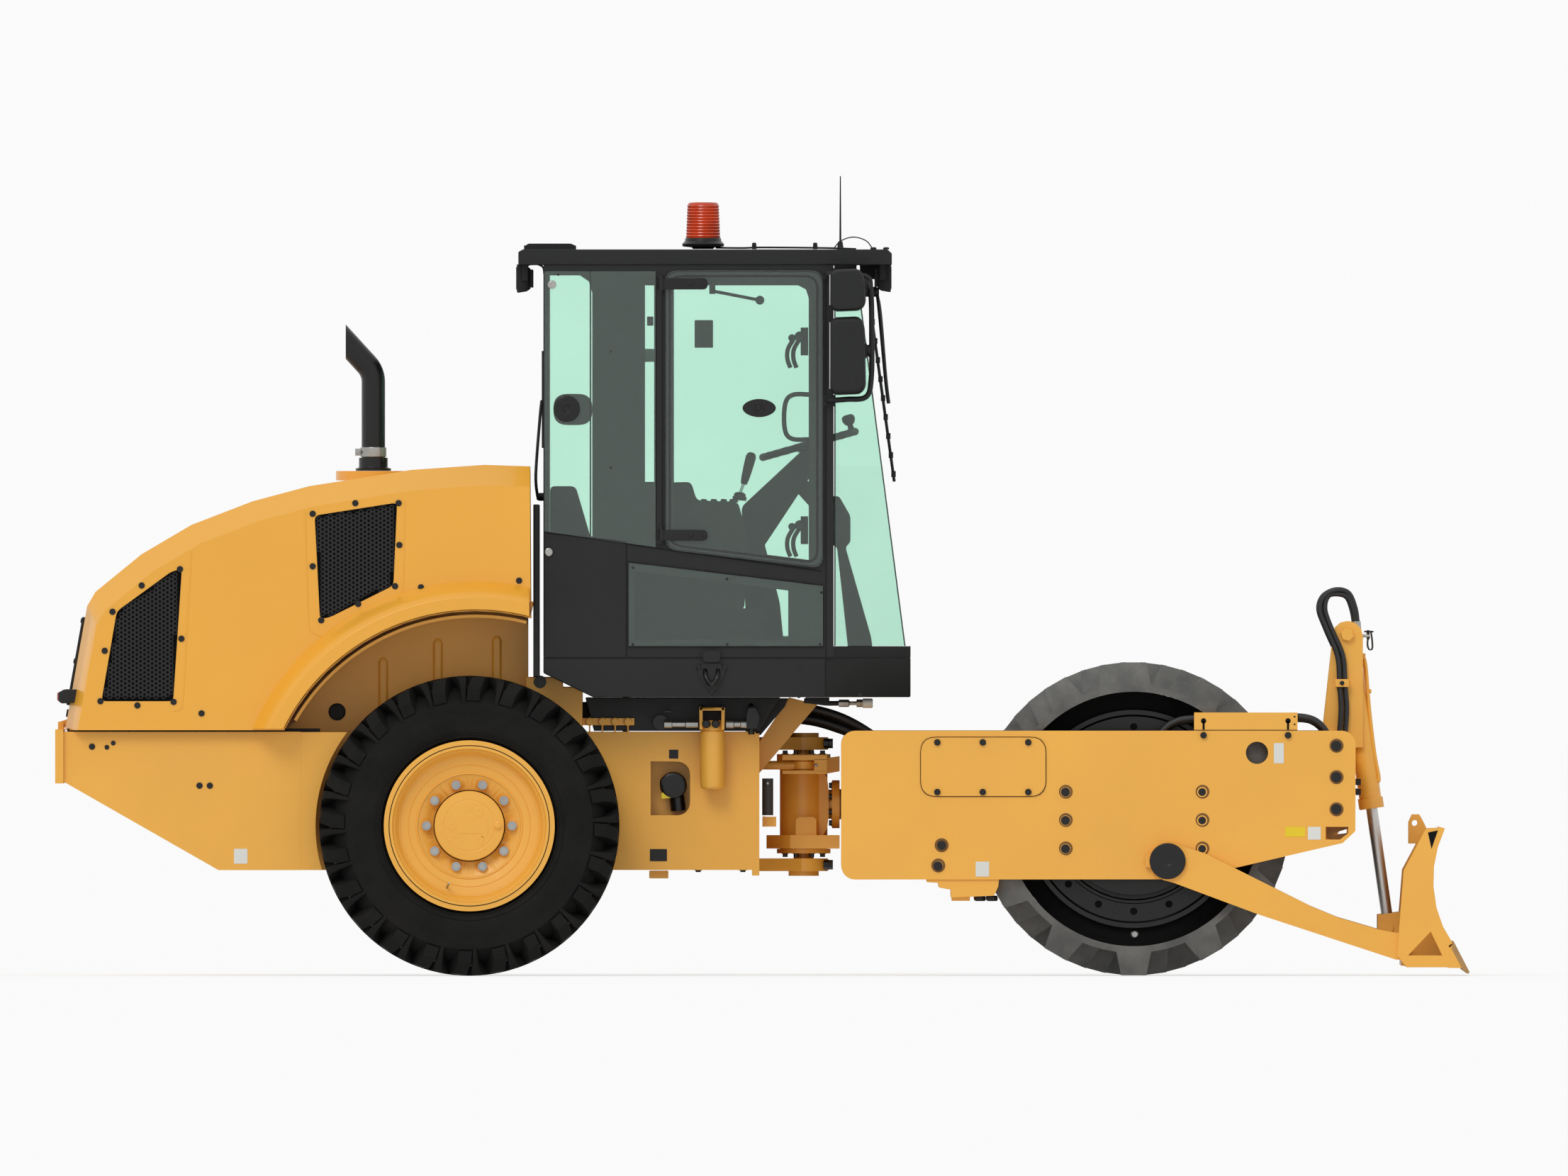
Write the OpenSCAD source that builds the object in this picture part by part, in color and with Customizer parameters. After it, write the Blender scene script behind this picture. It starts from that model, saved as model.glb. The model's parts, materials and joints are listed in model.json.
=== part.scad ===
// Vibratory soil compactor: padfoot drum in front, tyres and engine behind, joined by a centre hitch.
// Millimetres. X runs forward to the blade, Y to the left, Z up from the ground.

/* [Wheels] */
// Height of the rear wheels' centre, and the tyre's radius over its lugs
wheel_r = 592; // [560:1:630]
// Wheel centre along X
wheel_x = -1156; // [-1300:1:-1000]
// Tyre width
tyre_w = 378; // [340:1:420]
// Outer face of the tyre from the centre line
tyre_out = 900; // [850:1:950]
// Lug height
lug_h = 38; // [20:1:50]
// Chevron lugs around each side of the tread
lug_n = 24; // [18:1:30]
// Rim flange radius
rim_r = 337; // [300:1:360]

/* [Drum] */
// Drum centre along X
drum_x = 1465; // [1400:1:1500]
// Drum radius over its pads, which is also its height
drum_r = 619; // [580:1:640]
// Drum shell radius
shell_r = 528; // [500:1:540]
// Drum width
drum_w = 1676; // [1500:1:1700]
// Pads in each ring
pad_n = 12; // [10:1:14]

/* [Hitch] */
// Steering pivot along X
pivot_x = 163; // [100:1:200]
// Height of the oscillation axis
osc_z = 676; // [600:1:720]
// Steering cylinder's pin from the centre line
steer_y = 190; // [150:1:210]
// Height of the steering cylinders
steer_z = 830; // [800:1:850]

/* [Frames] */
// Half width of the rear frame between the tyres
rear_hw = 440; // [400:1:450]
// Half width of the rear frame behind the tyres
tail_hw = 740; // [700:1:760]
// Inner face of the drum frame's side plates
yoke_in = 850; // [845:1:860]
// Plate thickness
plate = 30; // [20:1:40]

/* [Hood] */
// Half width of the hood's sides
hood_hw = 790; // [740:1:800]
// Width of the sloping shoulder
shoulder = 110; // [80:1:140]
// Hood wall
hood_t = 16; // [10:1:25]

/* [Cab] */
// Half width of the cab
cab_hw = 690; // [660:1:700]
// Cab wall
cab_t = 44; // [30:1:50]
// Glass thickness
glass_t = 8; // [5:1:10]

/* [Blade] */
// Blade pivot along X and Z
arm_x = 1597; // [1500:1:1700]
arm_z = 451; // [400:1:500]
// Half width of the blade
blade_hw = 934; // [900:1:950]
// Lift cylinders from the centre line
lift_y = 480; // [400:1:600]

/* [Hidden] */
$fn = 48;
wheel_z = wheel_r;
drum_z = drum_r;
pin_r = 40;
fit = 0.05;
lift_top = [2309, 1345];
lift_eye = [2474, 188];
lift_len = norm(lift_eye - lift_top);
lift_tilt = atan2(lift_eye[0] - lift_top[0], lift_top[1] - lift_eye[1]);

function arc(c, r, a, b, n = 6) =
    [for (i = [0:n]) [c[0] + r * cos(a + (b - a) * i / n), c[1] + r * sin(a + (b - a) * i / n)]];

// Outline in the side view, X and Z, given thickness from y0 to y1
module side(pts, y0, y1) {
    translate([0, y1, 0]) rotate([90, 0, 0]) linear_extrude(y1 - y0) polygon(pts);
}
// Outline in plan, X and Y, from z0 to z1
module plan(pts, z0, z1) {
    translate([0, 0, z0]) linear_extrude(z1 - z0) polygon(pts);
}
module box(x, y, z) {
    translate([x[0], y[0], z[0]]) cube([x[1] - x[0], y[1] - y[0], z[1] - z[0]]);
}
module rod_x(y, z, r, x0, x1) {
    translate([x0, y, z]) rotate([0, 90, 0]) cylinder(r = r, h = x1 - x0);
}
module rod_y(x, z, r, y0, y1) {
    translate([x, y1, z]) rotate([90, 0, 0]) cylinder(r = r, h = y1 - y0);
}
module rod_z(x, y, r, z0, z1) {
    translate([x, y, z0]) cylinder(r = r, h = z1 - z0);
}
module both() {
    children();
    mirror([0, 1, 0]) children();
}
// Straight bar between two points
module bar(a, b, r) {
    d = b - a;
    translate(a) rotate([0, acos(d[2] / norm(d)), atan2(d[1], d[0])]) cylinder(r = r, h = norm(d));
}
// Bent tube through points, with a ball at each bend
module tube(pts, r) {
    for (i = [0:len(pts) - 2]) bar(pts[i], pts[i + 1], r);
    for (i = [1:1:len(pts) - 2]) translate(pts[i]) sphere(r = r * 1.02);
}
// Skin over closed loops that have equal numbers of points
module loft(rings) {
    n = len(rings[0]);
    m = len(rings);
    polyhedron(
        points = [for (r = rings) each r],
        faces = concat(
            [[for (i = [0:n - 1]) i]],
            [for (k = [0:m - 2]) for (i = [0:n - 1]) each [
                [k * n + i, (k + 1) * n + i, (k + 1) * n + (i + 1) % n],
                [k * n + i, (k + 1) * n + (i + 1) % n, k * n + (i + 1) % n]]],
            [[for (i = [n - 1:-1:0]) (m - 1) * n + i]]),
        convexity = 6);
}
function at_y(pts, y) = [for (p = pts) [p[0], y, p[1]]];

// Rear frame
module rear_frame() color("Gold") {
    // inboard plates, the right one with the service opening
    difference() {
        side([[-1819.7, 962], [-27, 963], [-27, 417], [-1819.7, 417]], rear_hw - plate, rear_hw);
        rod_y(wheel_x, wheel_z, 95.5, rear_hw - 50, rear_hw + 20);
    }
    difference() {
        side([[-1819.7, 962], [-27, 963], [-27, 417], [-1819.7, 417]], -rear_hw, -rear_hw + plate);
        rod_y(wheel_x, wheel_z, 95.5, -rear_hw - 20, -rear_hw + 50);
        side(concat([[-441, 633], [-441, 846]], arc([-335, 795], 50, 90, 0), arc([-335, 683], 50, 0, -90)),
            -rear_hw - 5, -rear_hw + plate + 5);
    }
    // hitch
    hitch_ears();
}
module tail_frame() color("Gold") {
    difference() {
        both() side([[-2759, 963], [-1821, 963], [-1821, 417], [-2146, 417], [-2759, 767]],
            tail_hw - plate, tail_hw);
        for (p = [[-2645, 904], [-2586, 902], [-2561, 918], [-2220, 750], [-2180, 750]]) rod_y(p[0],
            p[1], 9, -tail_hw - 5, -tail_hw + 20);
    }
    box([-2741, -2450], [-tail_hw + 5, tail_hw - 5], [950, 962]);
    both() {
        rod_y(hood_pin[0], hood_pin[1], 6, 416, 484);
        for (y = [416, 472]) box([-2780, -2758], [y, y + 12], [968, 1002]);
    }
    side([[-2759, 767], [-2146, 417], [-1821, 417], [-1821, 440], [-2141, 440], [-2759, 792]],
        -tail_hw + 5, tail_hw - 5);
    box([-1850, -1820], [-tail_hw + 5, tail_hw - 5], [425, 690]);
    both() box([-1850, -1820], [rear_hw - 40, tail_hw - 5], [425, 962]);
    box([-2760, -2740], [-tail_hw, tail_hw], [775, 962]);
    // bumper
    box([-2790, -2758], [-tail_hw - 20, tail_hw + 20], [759, 972]);
    // engine beams and belly cross plates
    box([-2330, -2250], [-tail_hw + 5, tail_hw - 5], [640, 699.7]);
}
module hitch_ears() {
    box([-1600, -1520], [-rear_hw + 5, rear_hw - 5], [640, 699.7]);
    difference() {
        box([-900, -860], [-rear_hw + 5, rear_hw - 5], [420, 900]);
        rod_x(0, wheel_z, 72, -910, -850);
    }
    box([-480, -40], [-rear_hw + 5, rear_hw - 5], [417, 437]);
    // hitch plate with holes for the steering rods, and the pivot ears
    difference() {
        box([-41, -12], [-rear_hw, rear_hw], [395, 956]);
        both() rod_x(steer_y, steer_z, 62, -60, 10);
    }
    for (z = [[412, 462], [891, 941]]) {
        plan([[-14, -200], [pivot_x, -90], [pivot_x, 90], [-14, 200]], z[0], z[1]);
        rod_z(pivot_x, 0, 96, z[0], z[1]);
    }
    // gussets behind the ears and struts up to the cab
    both() side([[-27, 924], [-10, 924], [105, 1098], [217, 1070], [-10, 801], [-27, 801]], 240, 275);
    // anchor lugs of the steering cylinders
    both() for (z = [steer_z - 62, steer_z + 42]) box([-610, -520], [steer_y - 40, rear_hw - 20], [z,
        z + 20]);
    both() rod_z(-565, steer_y, 16, steer_z - 64, steer_z + 64);
}

module pivot_pins() color("Silver") {
    rod_z(pivot_x, 0, pin_r, 400, 580);
    rod_z(pivot_x, 0, pin_r, 776, 950);
    rod_z(pivot_x, 0, 60, 940, 958);
    rod_z(pivot_x, 0, 60, 393, 412);
}

module rear_axle() color("DimGray") {
    rod_y(wheel_x, wheel_z, 95, -500, 500);
    rod_y(wheel_x, wheel_z, 60, -640, 640);
    translate([wheel_x, 0, wheel_z]) sphere(r = 210);
    both() rod_y(wheel_x, wheel_z, 150, rear_hw + 0.3, 555);
    both() box([wheel_x - 90, wheel_x + 90], [360, rear_hw - plate - 0.3], [wheel_z - 130, wheel_z + 260]);
    rod_x(0, wheel_z, 70, wheel_x, wheel_x + 320);
}

module engine() color("DimGray") box([-2420, -1460], [-330, 330], [700, 1390]);

module radiator() color("Black") {
    box([-2600, -2490], [-480, 480], [962.3, 1440]);
    box([-2500, -2422], [-60, 60], [1000, 1120]);
}

module side_box() color("Gold") {
    side([[-934, 980], [-934, 1179], [-788, 1179], [-788, 1140], [-710, 1140], [-710, 980]],
        -rear_hw - 60, -rear_hw + 180);
    mirror([0, 1, 0])
        side([[-934, 980], [-934, 1179], [-788, 1179], [-788, 1140], [-710, 1140], [-710, 980]],
            -rear_hw - 60, -rear_hw + 180);
}

module pedestal() color("Black") {
    side([[-699, 1098], [71, 1098], [-10, 966], [-665, 966]], -rear_hw + 10, rear_hw - 10);
    box([-904, -880], [-680, 680], [1179.3, 1860]);
    box([-904, -680], [-200, 200], [1000, 1080]);
    box([-904, -880], [-200, 200], [1000, 1200]);
}

module platform() color([0.1, 0.1, 0.1]) difference() {
    plan([[-864, -cab_hw], [250, -cab_hw], [585, -420], [585, 420], [250, cab_hw], [-864, cab_hw]],
        1099, 1257);
    plan([[-844, -cab_hw + 20], [242, -cab_hw + 20], [565, -410], [565, 410], [242, cab_hw - 20],
        [-844, cab_hw - 20]], 1090, 1240);
    side([[-897, 1210], [-631, 1081], [-897, 1081]], -cab_hw - 10, cab_hw + 10);
}

// Cab
quarter_win = [[-853, 2766], [-721, 2766], [-685, 2741], [-671, 2694], [-671, 1733], [-853, 1756]];
slot_win = [[-463, 2724], [-427, 2724], [-427, 1949], [-463, 1949]];
lower_win = [[-505, 1596], [102, 1520], [102, 1327], [-505, 1327]];
door_win = [[-483, 2738], [200, 2738], [200, 1333], [-483, 1333]];
cab_side = [[-864, 2806], [281, 2806], [281, 1257], [-864, 1257]];
module cab_frame() color([0.1, 0.1, 0.1]) {
    // right side: quarter, opening window and lower window
    difference() {
        side(cab_side, -cab_hw, -cab_hw + cab_t);
        for (w = [quarter_win, slot_win, lower_win, [[-349, 2724], [141, 2724], [172, 2708], [183,
            2674], [183, 1641],
            [-349, 1708]]]) side(w, -cab_hw - 5, -cab_hw + cab_t + 5);
    }
    // left side: quarter window and doorway
    difference() {
        side(cab_side, cab_hw - cab_t, cab_hw);
        for (w = [quarter_win, [[-536, 2766], [231, 2766], [231, 1291], [-536, 1291]]]) side(w,
            cab_hw - cab_t - 5, cab_hw + 5);
    }
    // hinge pins of the window and the door
    for (z = window_hinge_z) {
        rod_z(win_hinge[0], win_hinge[1], 6, z - 34, z + 34);
        for (e = [-34, 24]) box([win_hinge[0] - 14, win_hinge[0] + 2], [win_hinge[1] - 8, -cab_hw + 2],
            [z + e, z + e + 10]);
    }
    for (z = door_hinge_z) {
        rod_z(door_hinge[0], door_hinge[1], 7, z - 46, z + 46);
        for (e = [-46, 34]) box([door_hinge[0] - 14, door_hinge[0] + 9], [cab_hw - 2,
            door_hinge[1] + 10], [z + e, z + e + 12]);
    }
    // rear wall with its window
    difference() {
        box([-864, -840], [-cab_hw + 5, cab_hw - 5], [1257, 2805]);
        box([-870, -820], [-cab_hw + 110, cab_hw - 110], [1760, 2720]);
    }
    // rails round the windscreen
    plan([[246, -cab_hw + 5], [585, -420], [585, 420], [246, cab_hw - 5], [246, cab_hw - 45], [545, 400],
        [545, -400], [246, -cab_hw + 45]], 1257, 1300);
}

module roof() color([0.12, 0.12, 0.12]) {
    side([[-963, 2806], [-963, 2856], [-945, 2866], [494, 2866], [511, 2850], [511, 2806]],
        -cab_hw - 10, cab_hw + 10);
    side([[-941, 2864], [-941, 2883], [-736, 2883], [-736, 2864]], -420, 420);
    side([[385, 2806], [508, 2806], [508, 2750], [385, 2750]], -430, 430);
    both() plan([[284, 650], [372, 565], [372, 430], [284, 430]], 2750, 2807);
}

// windscreen: a leaning front pane and two upright corner panes
glass_z = [1301.4, 2749.7];
front_x = [566, 378];
corner_k = 0.86;
module front_glass() color([0.7, 0.9, 0.8, 0.5]) {
    h = glass_z[1] - glass_z[0];
    lean = atan((front_x[0] - front_x[1]) / h);
    y = [for (x = front_x) 660 - (x - pillar_x) * corner_k];
    u = [for (x = front_x) (x - pillar_x) * sqrt(1 + corner_k * corner_k) - 1];
    translate([front_x[0], 0, glass_z[0]]) rotate([0, -lean, 0]) translate([-glass_t, 0,
        0]) rotate([90, 0, 90])
        linear_extrude(glass_t) polygon([[-y[0], 0], [y[0], 0], [y[1], h / cos(lean)], [-y[1],
            h / cos(lean)]]);
    both() translate([pillar_x, 660, 0]) rotate([0, 0, -atan(corner_k)])
        side([[0, glass_z[0]], [u[0], glass_z[0]], [u[1], glass_z[1]], [0, glass_z[1]]], -glass_t, 0);
}

module rear_glass() color([0.7, 0.9, 0.8, 0.5])
    box([-852, -852 + glass_t], [-cab_hw + 110.3, cab_hw - 110.3], [1760.3, 2719.7]);

function pane(w) = inset(w, [for (p = w) 0.3]);
module quarter_glass() color([0.7, 0.9, 0.8, 0.5]) {
    side([[-861, 2780], [-421, 2780], [-421, 1691], [-861, 1753]], -cab_hw - 0.3 - glass_t, -cab_hw - 0.3);
    side([[-861, 2780], [-570, 2780], [-570, 1716], [-861, 1753]], cab_hw + 0.3, cab_hw + 0.3 + glass_t);
}

module lower_window() color([0.7, 0.9, 0.8, 0.5])
    side([[-528, 1632], [239, 1540], [239, 1299], [-528, 1299]], -cab_hw - 0.3 - glass_t, -cab_hw - 0.3);

// opening window on the right, hung at its rear edge
pillar_x = 289;
win_hinge = [-398, -708];
window_hinge_z = [2730, 1739];
module side_window() color([0.7, 0.9, 0.8, 0.5])
    side([[-385, 2786], [242, 2786], [242, 1604], [-385, 1680]], -cab_hw - 14, -cab_hw - 6);
module window_fittings() color([0.05, 0.05, 0.05]) {
    for (z = window_hinge_z) {
        difference() {
            union() {
                box([-398, -222], [-cab_hw - 24, -cab_hw - 14.3], [z - 20, z + 20]);
                rod_z(win_hinge[0], win_hinge[1], 12, z - 20, z + 20);
            }
            rod_z(win_hinge[0], win_hinge[1], 6.05, z - 21, z + 21);
        }
    }
    side(arc([-13, 2240], 50, 0, 345, 20), -cab_hw - 24, -cab_hw - 14.3);
}

// full-height door on the left
door_hinge = [-545, 716];
door_hinge_z = [1500, 2450];
module door_frame() color([0.1, 0.1, 0.1]) {
    difference() {
        side([[-531, 2786], [248, 2786], [248, 1277], [-531, 1277]], cab_hw + 6, cab_hw + 32);
        side(door_win, cab_hw, cab_hw + 40);
    }
    for (z = door_hinge_z) difference() {
        union() {
            rod_z(door_hinge[0], door_hinge[1], 14, z - 30, z + 30);
            box([door_hinge[0], -510], [cab_hw + 16, cab_hw + 30], [z - 30, z + 30]);
        }
        rod_z(door_hinge[0], door_hinge[1], 7.05, z - 31, z + 31);
    }
    box([206, 242], [cab_hw + 30, cab_hw + 50], [1880, 2000]);
}
module door_glass() color([0.7, 0.9, 0.8, 0.5])
    side(pane(door_win), cab_hw + 14, cab_hw + 22);

module seat() color([0.15, 0.15, 0.16]) {
    box([-520, -80], [-230, 230], [1500, 1600]);
    translate([-520, 0, 1560]) rotate([0, -10, 0]) box([-90, 10], [-220, 220], [0, 560]);
    box([-450, -150], [-150, 150], [1257, 1500]);
    both() box([-500, -190], [250, 320], [1700, 1750]);
    both() box([-500, -440], [225, 300], [1560, 1705]);
}
// Steering pod: arm up to the wheel, foot on the floor in front; armrest console on the right
arm = [[-83, 1851], [161, 2078], [209, 2061], [209, 1999], [130, 1882], [-1, 1683], [-71, 1683]];
foot = [[237, 1893], [301, 1893], [346, 1814], [346, 1711], [326, 1691], [427, 1338], [438, 1257.3],
    [340, 1257.3], [293, 1691],
    [237, 1725]];
wheel_at = [183, 0, 2097];
module console() color([0.12, 0.12, 0.12]) {
    side([[-511, 1943], [-281, 1949], [-259, 1876], [-97, 1870], [-55, 1725], [-71, 1445], [-511,
        1445]], -430, -322);
    box([-500, 0], [-430, -322], [1257.3, 1450]);
    side(arm, -70, 70);
    side([[-77, 1711], [7, 1711], [69, 1473], [90, 1257.3], [-60, 1257.3]], -70, 70);
    side(foot, -90, 90);
    side([[125, 1921], [130, 1999], [251, 1887], [251, 1781]], -60, 60);
    side([[-838, 1257.3], [-838, 1932], [-738, 1932], [-680, 1735], [-620, 1257.3]], -420, 420);
}
module steering_wheel() color([0.08, 0.08, 0.08]) difference() {
    translate(wheel_at) rotate([0, -15.7, 0]) {
        rotate_extrude() translate([188, 0]) circle(r = 14);
        for (a = [0, 120, 240]) rotate([0, 90, a]) cylinder(r = 10, h = 186);
        cylinder(r = 40, h = 20, center = true);
        translate([0, 0, -90]) cylinder(r = 24, h = 90);
        translate([176, 30, 10]) cylinder(r = 12, h = 30);
        translate([176, 30, 46]) sphere(r = 24);
    }
    side(inset(arm, [for (p = arm) -0.3]), -200, 200);
    side(inset(foot, [for (p = foot) -0.3]), -200, 200);
}
module lever() color([0.08, 0.08, 0.08]) {
    bar([-95, -345, 1860], [-60, -345, 1990], 8);
    bar([-64, -345, 1960], [-52, -345, 2050], 18);
}

module mirrors() color([0.06, 0.06, 0.06]) both() {
    for (m = [[2622, 2790], [2292, 2602]])
        side([[286, m[0]], [388, m[0] + 6], [408, m[0] + 30], [404, m[1] - 36], [380, m[1]], [286,
            m[1] - 4], [270, m[1] - 20],
            [266, m[0] + 20]], 742, 862);
    tube([[262, cab_hw + 0.3, 2770], [262, 760, 2770], [330, 805, 2700], [330, 805, 2300], [262, 760, 2270],
        [262, cab_hw + 0.3, 2270]], 11);
}
module work_lights() color("Gainsboro") {
    both() for (x = [[724, 765], [1229, 1257]])
        box([(x[0] - 1075.5) * 2.8, (x[1] - 1075.5) * 2.8], [470, 610], [2698, 2806]);
}
module beacon() color("OrangeRed") {
    x = (992 - 1075.5) * 2.8;
    rod_z(x, -420, 81, 2866, 2912);
    translate([x, -420, 2912]) cylinder(r1 = 68, r2 = 60, h = 120);
    translate([x, -420, 3032]) cylinder(r1 = 60, r2 = 36, h = 20);
}
module antenna() color("Black") rod_z(308, 300, 4, 2866, 3160);
module wipers() color("Black") {
    bar([452, 0, 2700], [514, -170, 1960], 7);
    rod_x(0, 2700, 20, 397, 462);
    bar([-885, 0, 1890], [-885, 170, 2330], 7);
    rod_x(0, 1890, 16, -892, -852.3);
}
module steps() color([0.1, 0.1, 0.1]) {
    both_x = [-540, -275];
    for (x = both_x) side([[x - 8, 430], [x + 8, 430], [x + 8, 960], [x - 8, 960]], rear_hw + 0.3, 770);
    for (z = [440, 700]) box([-545, -270], [rear_hw + 60, 768], [z, z + 14]);
}
module handrails() color([0.1, 0.1, 0.1]) {
    tube([[268, cab_hw + 0.3, 1450], [268, 745, 1450], [268, 745, 2150], [268, cab_hw + 0.3, 2150]], 14);
    tube([[-540, 762, 900], [-540, 762, 1180], [-540, cab_hw + 0.3, 1180]], 14);
}

// Engine hood
hood_full = [[-2751, 969], [-2664, 1459], [-2631, 1515], [-2450, 1663], [-2253, 1779], [-2012, 1872],
    [-1788, 1932],
    [-1610, 1960], [-1385, 1996], [-1096, 2016], [-917, 2010], [-911, 969]];
// Outline moved inwards by its own distance at each edge
function inset(p, d) = let (n = len(p)) [for (i = [0:n - 1])
    let (a = (i + n - 1) % n, e0 = p[i] - p[a], e1 = p[(i + 1) % n] - p[i], u0 = e0 / norm(e0),
        u1 = e1 / norm(e1),
        n0 = [u0[1], -u0[0]], n1 = [u1[1], -u1[0]], w = n1 * d[i] - n0 * d[a])
    p[i] + n0 * d[a] + u0 * ((w[0] * u1[1] - w[1] * u1[0]) / (u0[0] * u1[1] - u0[1] * u1[0]))];
// Inset of the side's edge: rear, corner, the top's eight, front, bottom
low_d = [50, 70, 81, 81, 81, 81, 81, 81, 81, 81, 0, 0];
hood_low = inset(hood_full, low_d);
wall_d = [for (i = [0:11]) i < 10 ? hood_t : -6];
arch_c = [-1130, 596];
arch_r = 843;

module hood() color("Orange") {
    difference() {
        loft([at_y(hood_low, -hood_hw), at_y(hood_full, -hood_hw + shoulder),
            at_y(hood_full, hood_hw - shoulder), at_y(hood_low, hood_hw)]);
        loft([at_y(inset(hood_low, wall_d), -hood_hw + hood_t), at_y(inset(hood_full, wall_d),
            -hood_hw + shoulder + hood_t),
            at_y(inset(hood_full, wall_d), hood_hw - shoulder - hood_t), at_y(inset(hood_low, wall_d),
                hood_hw - hood_t)]);
        // wheel arches and grille openings
        side(arc(arch_c, arch_r, 185, -5, 30), -hood_hw - 50, hood_hw + 50);
        both() side([[-2589, 1098], [-2339, 1098], [-2311, 1574], [-2524, 1428]], hood_hw - 40,
            hood_hw + 20);
        both() side([[-1754, 1798], [-1455, 1842], [-1466, 1560], [-1735, 1434]], hood_hw - 40,
            hood_hw + 20);
    }
    both() flare();
    plan(arc([-1536, -300], 148, 0, 345, 23), 1955, 1992);
}
// fender flare: a band that leans out over the tyre
module flare() {
    a = [for (i = [0:12]) 153.5 - i * (153.5 - 75.5) / 12];
    function band(r0, r1) = concat(
        [for (t = a) [arch_c[0] + r0 * cos(t), arch_c[1] + r0 * sin(t)]],
        [for (i = [12:-1:0]) [arch_c[0] + r1 * cos(a[i]), arch_c[1] + r1 * sin(a[i])]]);
    loft([at_y(band(arch_r + 66, arch_r + 4), hood_hw - 6), at_y(band(arch_r + 18, arch_r + 4),
        hood_hw + 92)]);
}
// hood hinges behind the bumper's top: knuckle and arm on the hood, lugs and pin on the frame
hood_pin = [-2768, 992];
module hood_hinges() color([0.05, 0.05, 0.05]) both() difference() {
    union() {
        rod_y(hood_pin[0], hood_pin[1], 12, 432, 468);
        side([[-2768, 992], [-2762, 980], [-2749.5, 980], [-2744.3, 1012], [-2768, 1004]], 432, 468);
    }
    rod_y(hood_pin[0], hood_pin[1], 6 + fit, 430, 470);
}
module hood_grilles() color([0.05, 0.05, 0.05]) both() {
    side([[-2600, 1086], [-2328, 1086], [-2300, 1588], [-2530, 1445]], hood_hw - hood_t - 8.3,
        hood_hw - hood_t - 0.3);
    side([[-1765, 1809], [-1443, 1854], [-1455, 1551], [-1746, 1425]], hood_hw - hood_t - 8.3,
        hood_hw - hood_t - 0.3);
}
module fender_liners() color("Orange") both() {
    t = 10;
    a = [for (i = [0:10]) 150 - i * 7.4];
    side(concat([for (t = a) [arch_c[0] + (arch_r - 14) * cos(t), arch_c[1] + (arch_r - 14) * sin(t)]],
        [for (i = [10:-1:0]) [arch_c[0] + (arch_r - 26) * cos(a[i]),
            arch_c[1] + (arch_r - 26) * sin(a[i])]]),
        rear_hw - 10, 765);
    // the wall behind the wheel, above the frame's plate
    side(concat([[-940, 963.3], [-1846, 963.3]],
        [for (t = a) if (t > 76.8) [arch_c[0] + (arch_r - 20) * cos(t),
            arch_c[1] + (arch_r - 20) * sin(t)]],
        [[-940, 1396]]), rear_hw - 10, rear_hw);
}
module exhaust_stack() color("Silver") {
    x = -1536;
    rod_z(x, -300, 46, 1992.3, 2390);
    // the tip is cut off upright
    intersection() {
        bar([x, -300, 2380], [x - 165, -300, 2560], 46);
        box([-1645, x + 60], [-360, -240], [2300, 2650]);
    }
    translate([x, -300, 2385]) sphere(r = 47);
    rod_z(x, -300, 52, 2046, 2085);
    rod_z(x, -300, 70, 1992.3, 2004);
}
module tail_lamps() color("Red") both() side([[-2776, 1128], [-2776, 1078], [-2732, 1078], [-2723,
    1128]], 590, 670);

// Wheels
module tyre(s) color([0.1, 0.1, 0.1]) translate([wheel_x, s * (tyre_out - tyre_w / 2),
    wheel_z]) rotate([90, 0, 0]) {
    h = tyre_w / 2;
    body_r = wheel_r - lug_h;
    rotate_extrude($fn = 96) polygon(concat(
        [[rim_r - 15.7, -h + 60], [rim_r + 30, -h + 22], [rim_r + 110, -h + 4], [rim_r + 150, -h + 6],
            [body_r - 40, -h + 30]],
        [[body_r - 8, -h + 75], [body_r, -60], [body_r, 60], [body_r - 8, h - 75]],
        [[body_r - 40, h - 30], [rim_r + 150, h - 6], [rim_r + 110, h - 4], [rim_r + 30, h - 22],
            [rim_r - 15.7, h - 60]]));
    for (e = [-1, 1]) for (i = [0:lug_n - 1]) rotate([0, 0, (i + (e + 1) / 4) * 360 / lug_n]) lug(e, h,
        body_r);
}
// one bar from the middle of the tread to the shoulder
module lug(e, h, body_r) {
    intersection() {
        rotate([0, 90, 0]) linear_extrude(wheel_r + 30)
            polygon([[-e * -6, -40], [-e * 40, -44], [-e * h, 28], [-e * h, 78], [-e * 6, 4]]);
        rotate_extrude($fn = 96) polygon([[body_r - 60, -h + 6], [wheel_r - 52, -h + 2], [wheel_r - 6,
            -h + 26], [wheel_r, -60],
            [wheel_r, 60], [wheel_r - 6, h - 26], [wheel_r - 52, h - 2], [body_r - 60, h - 6]]);
    }
}
module rim(s) color("Gold") translate([wheel_x, s * (tyre_out - tyre_w / 2), wheel_z]) rotate([s * -90,
    0, 0]) {
    h = tyre_w / 2;
    difference() {
        rotate_extrude() polygon([[rim_r - 32, -h + 20], [rim_r, -h + 20], [rim_r, -h + 34],
            [rim_r - 16, -h + 52],
            [rim_r - 16, h - 52], [rim_r, h - 34], [rim_r, h - 20], [rim_r - 32, h - 20], [rim_r - 60, 110],
            [206, 96], [138, 60], [0, 60], [0, 30], [130, 30], [190, 70], [rim_r - 66, 82],
                [rim_r - 60, -100]]);
        for (i = [0:9]) rotate([0, 0, i * 36]) translate([169, 0, 0]) cylinder(r = 12, h = 200);
    }
}
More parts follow.
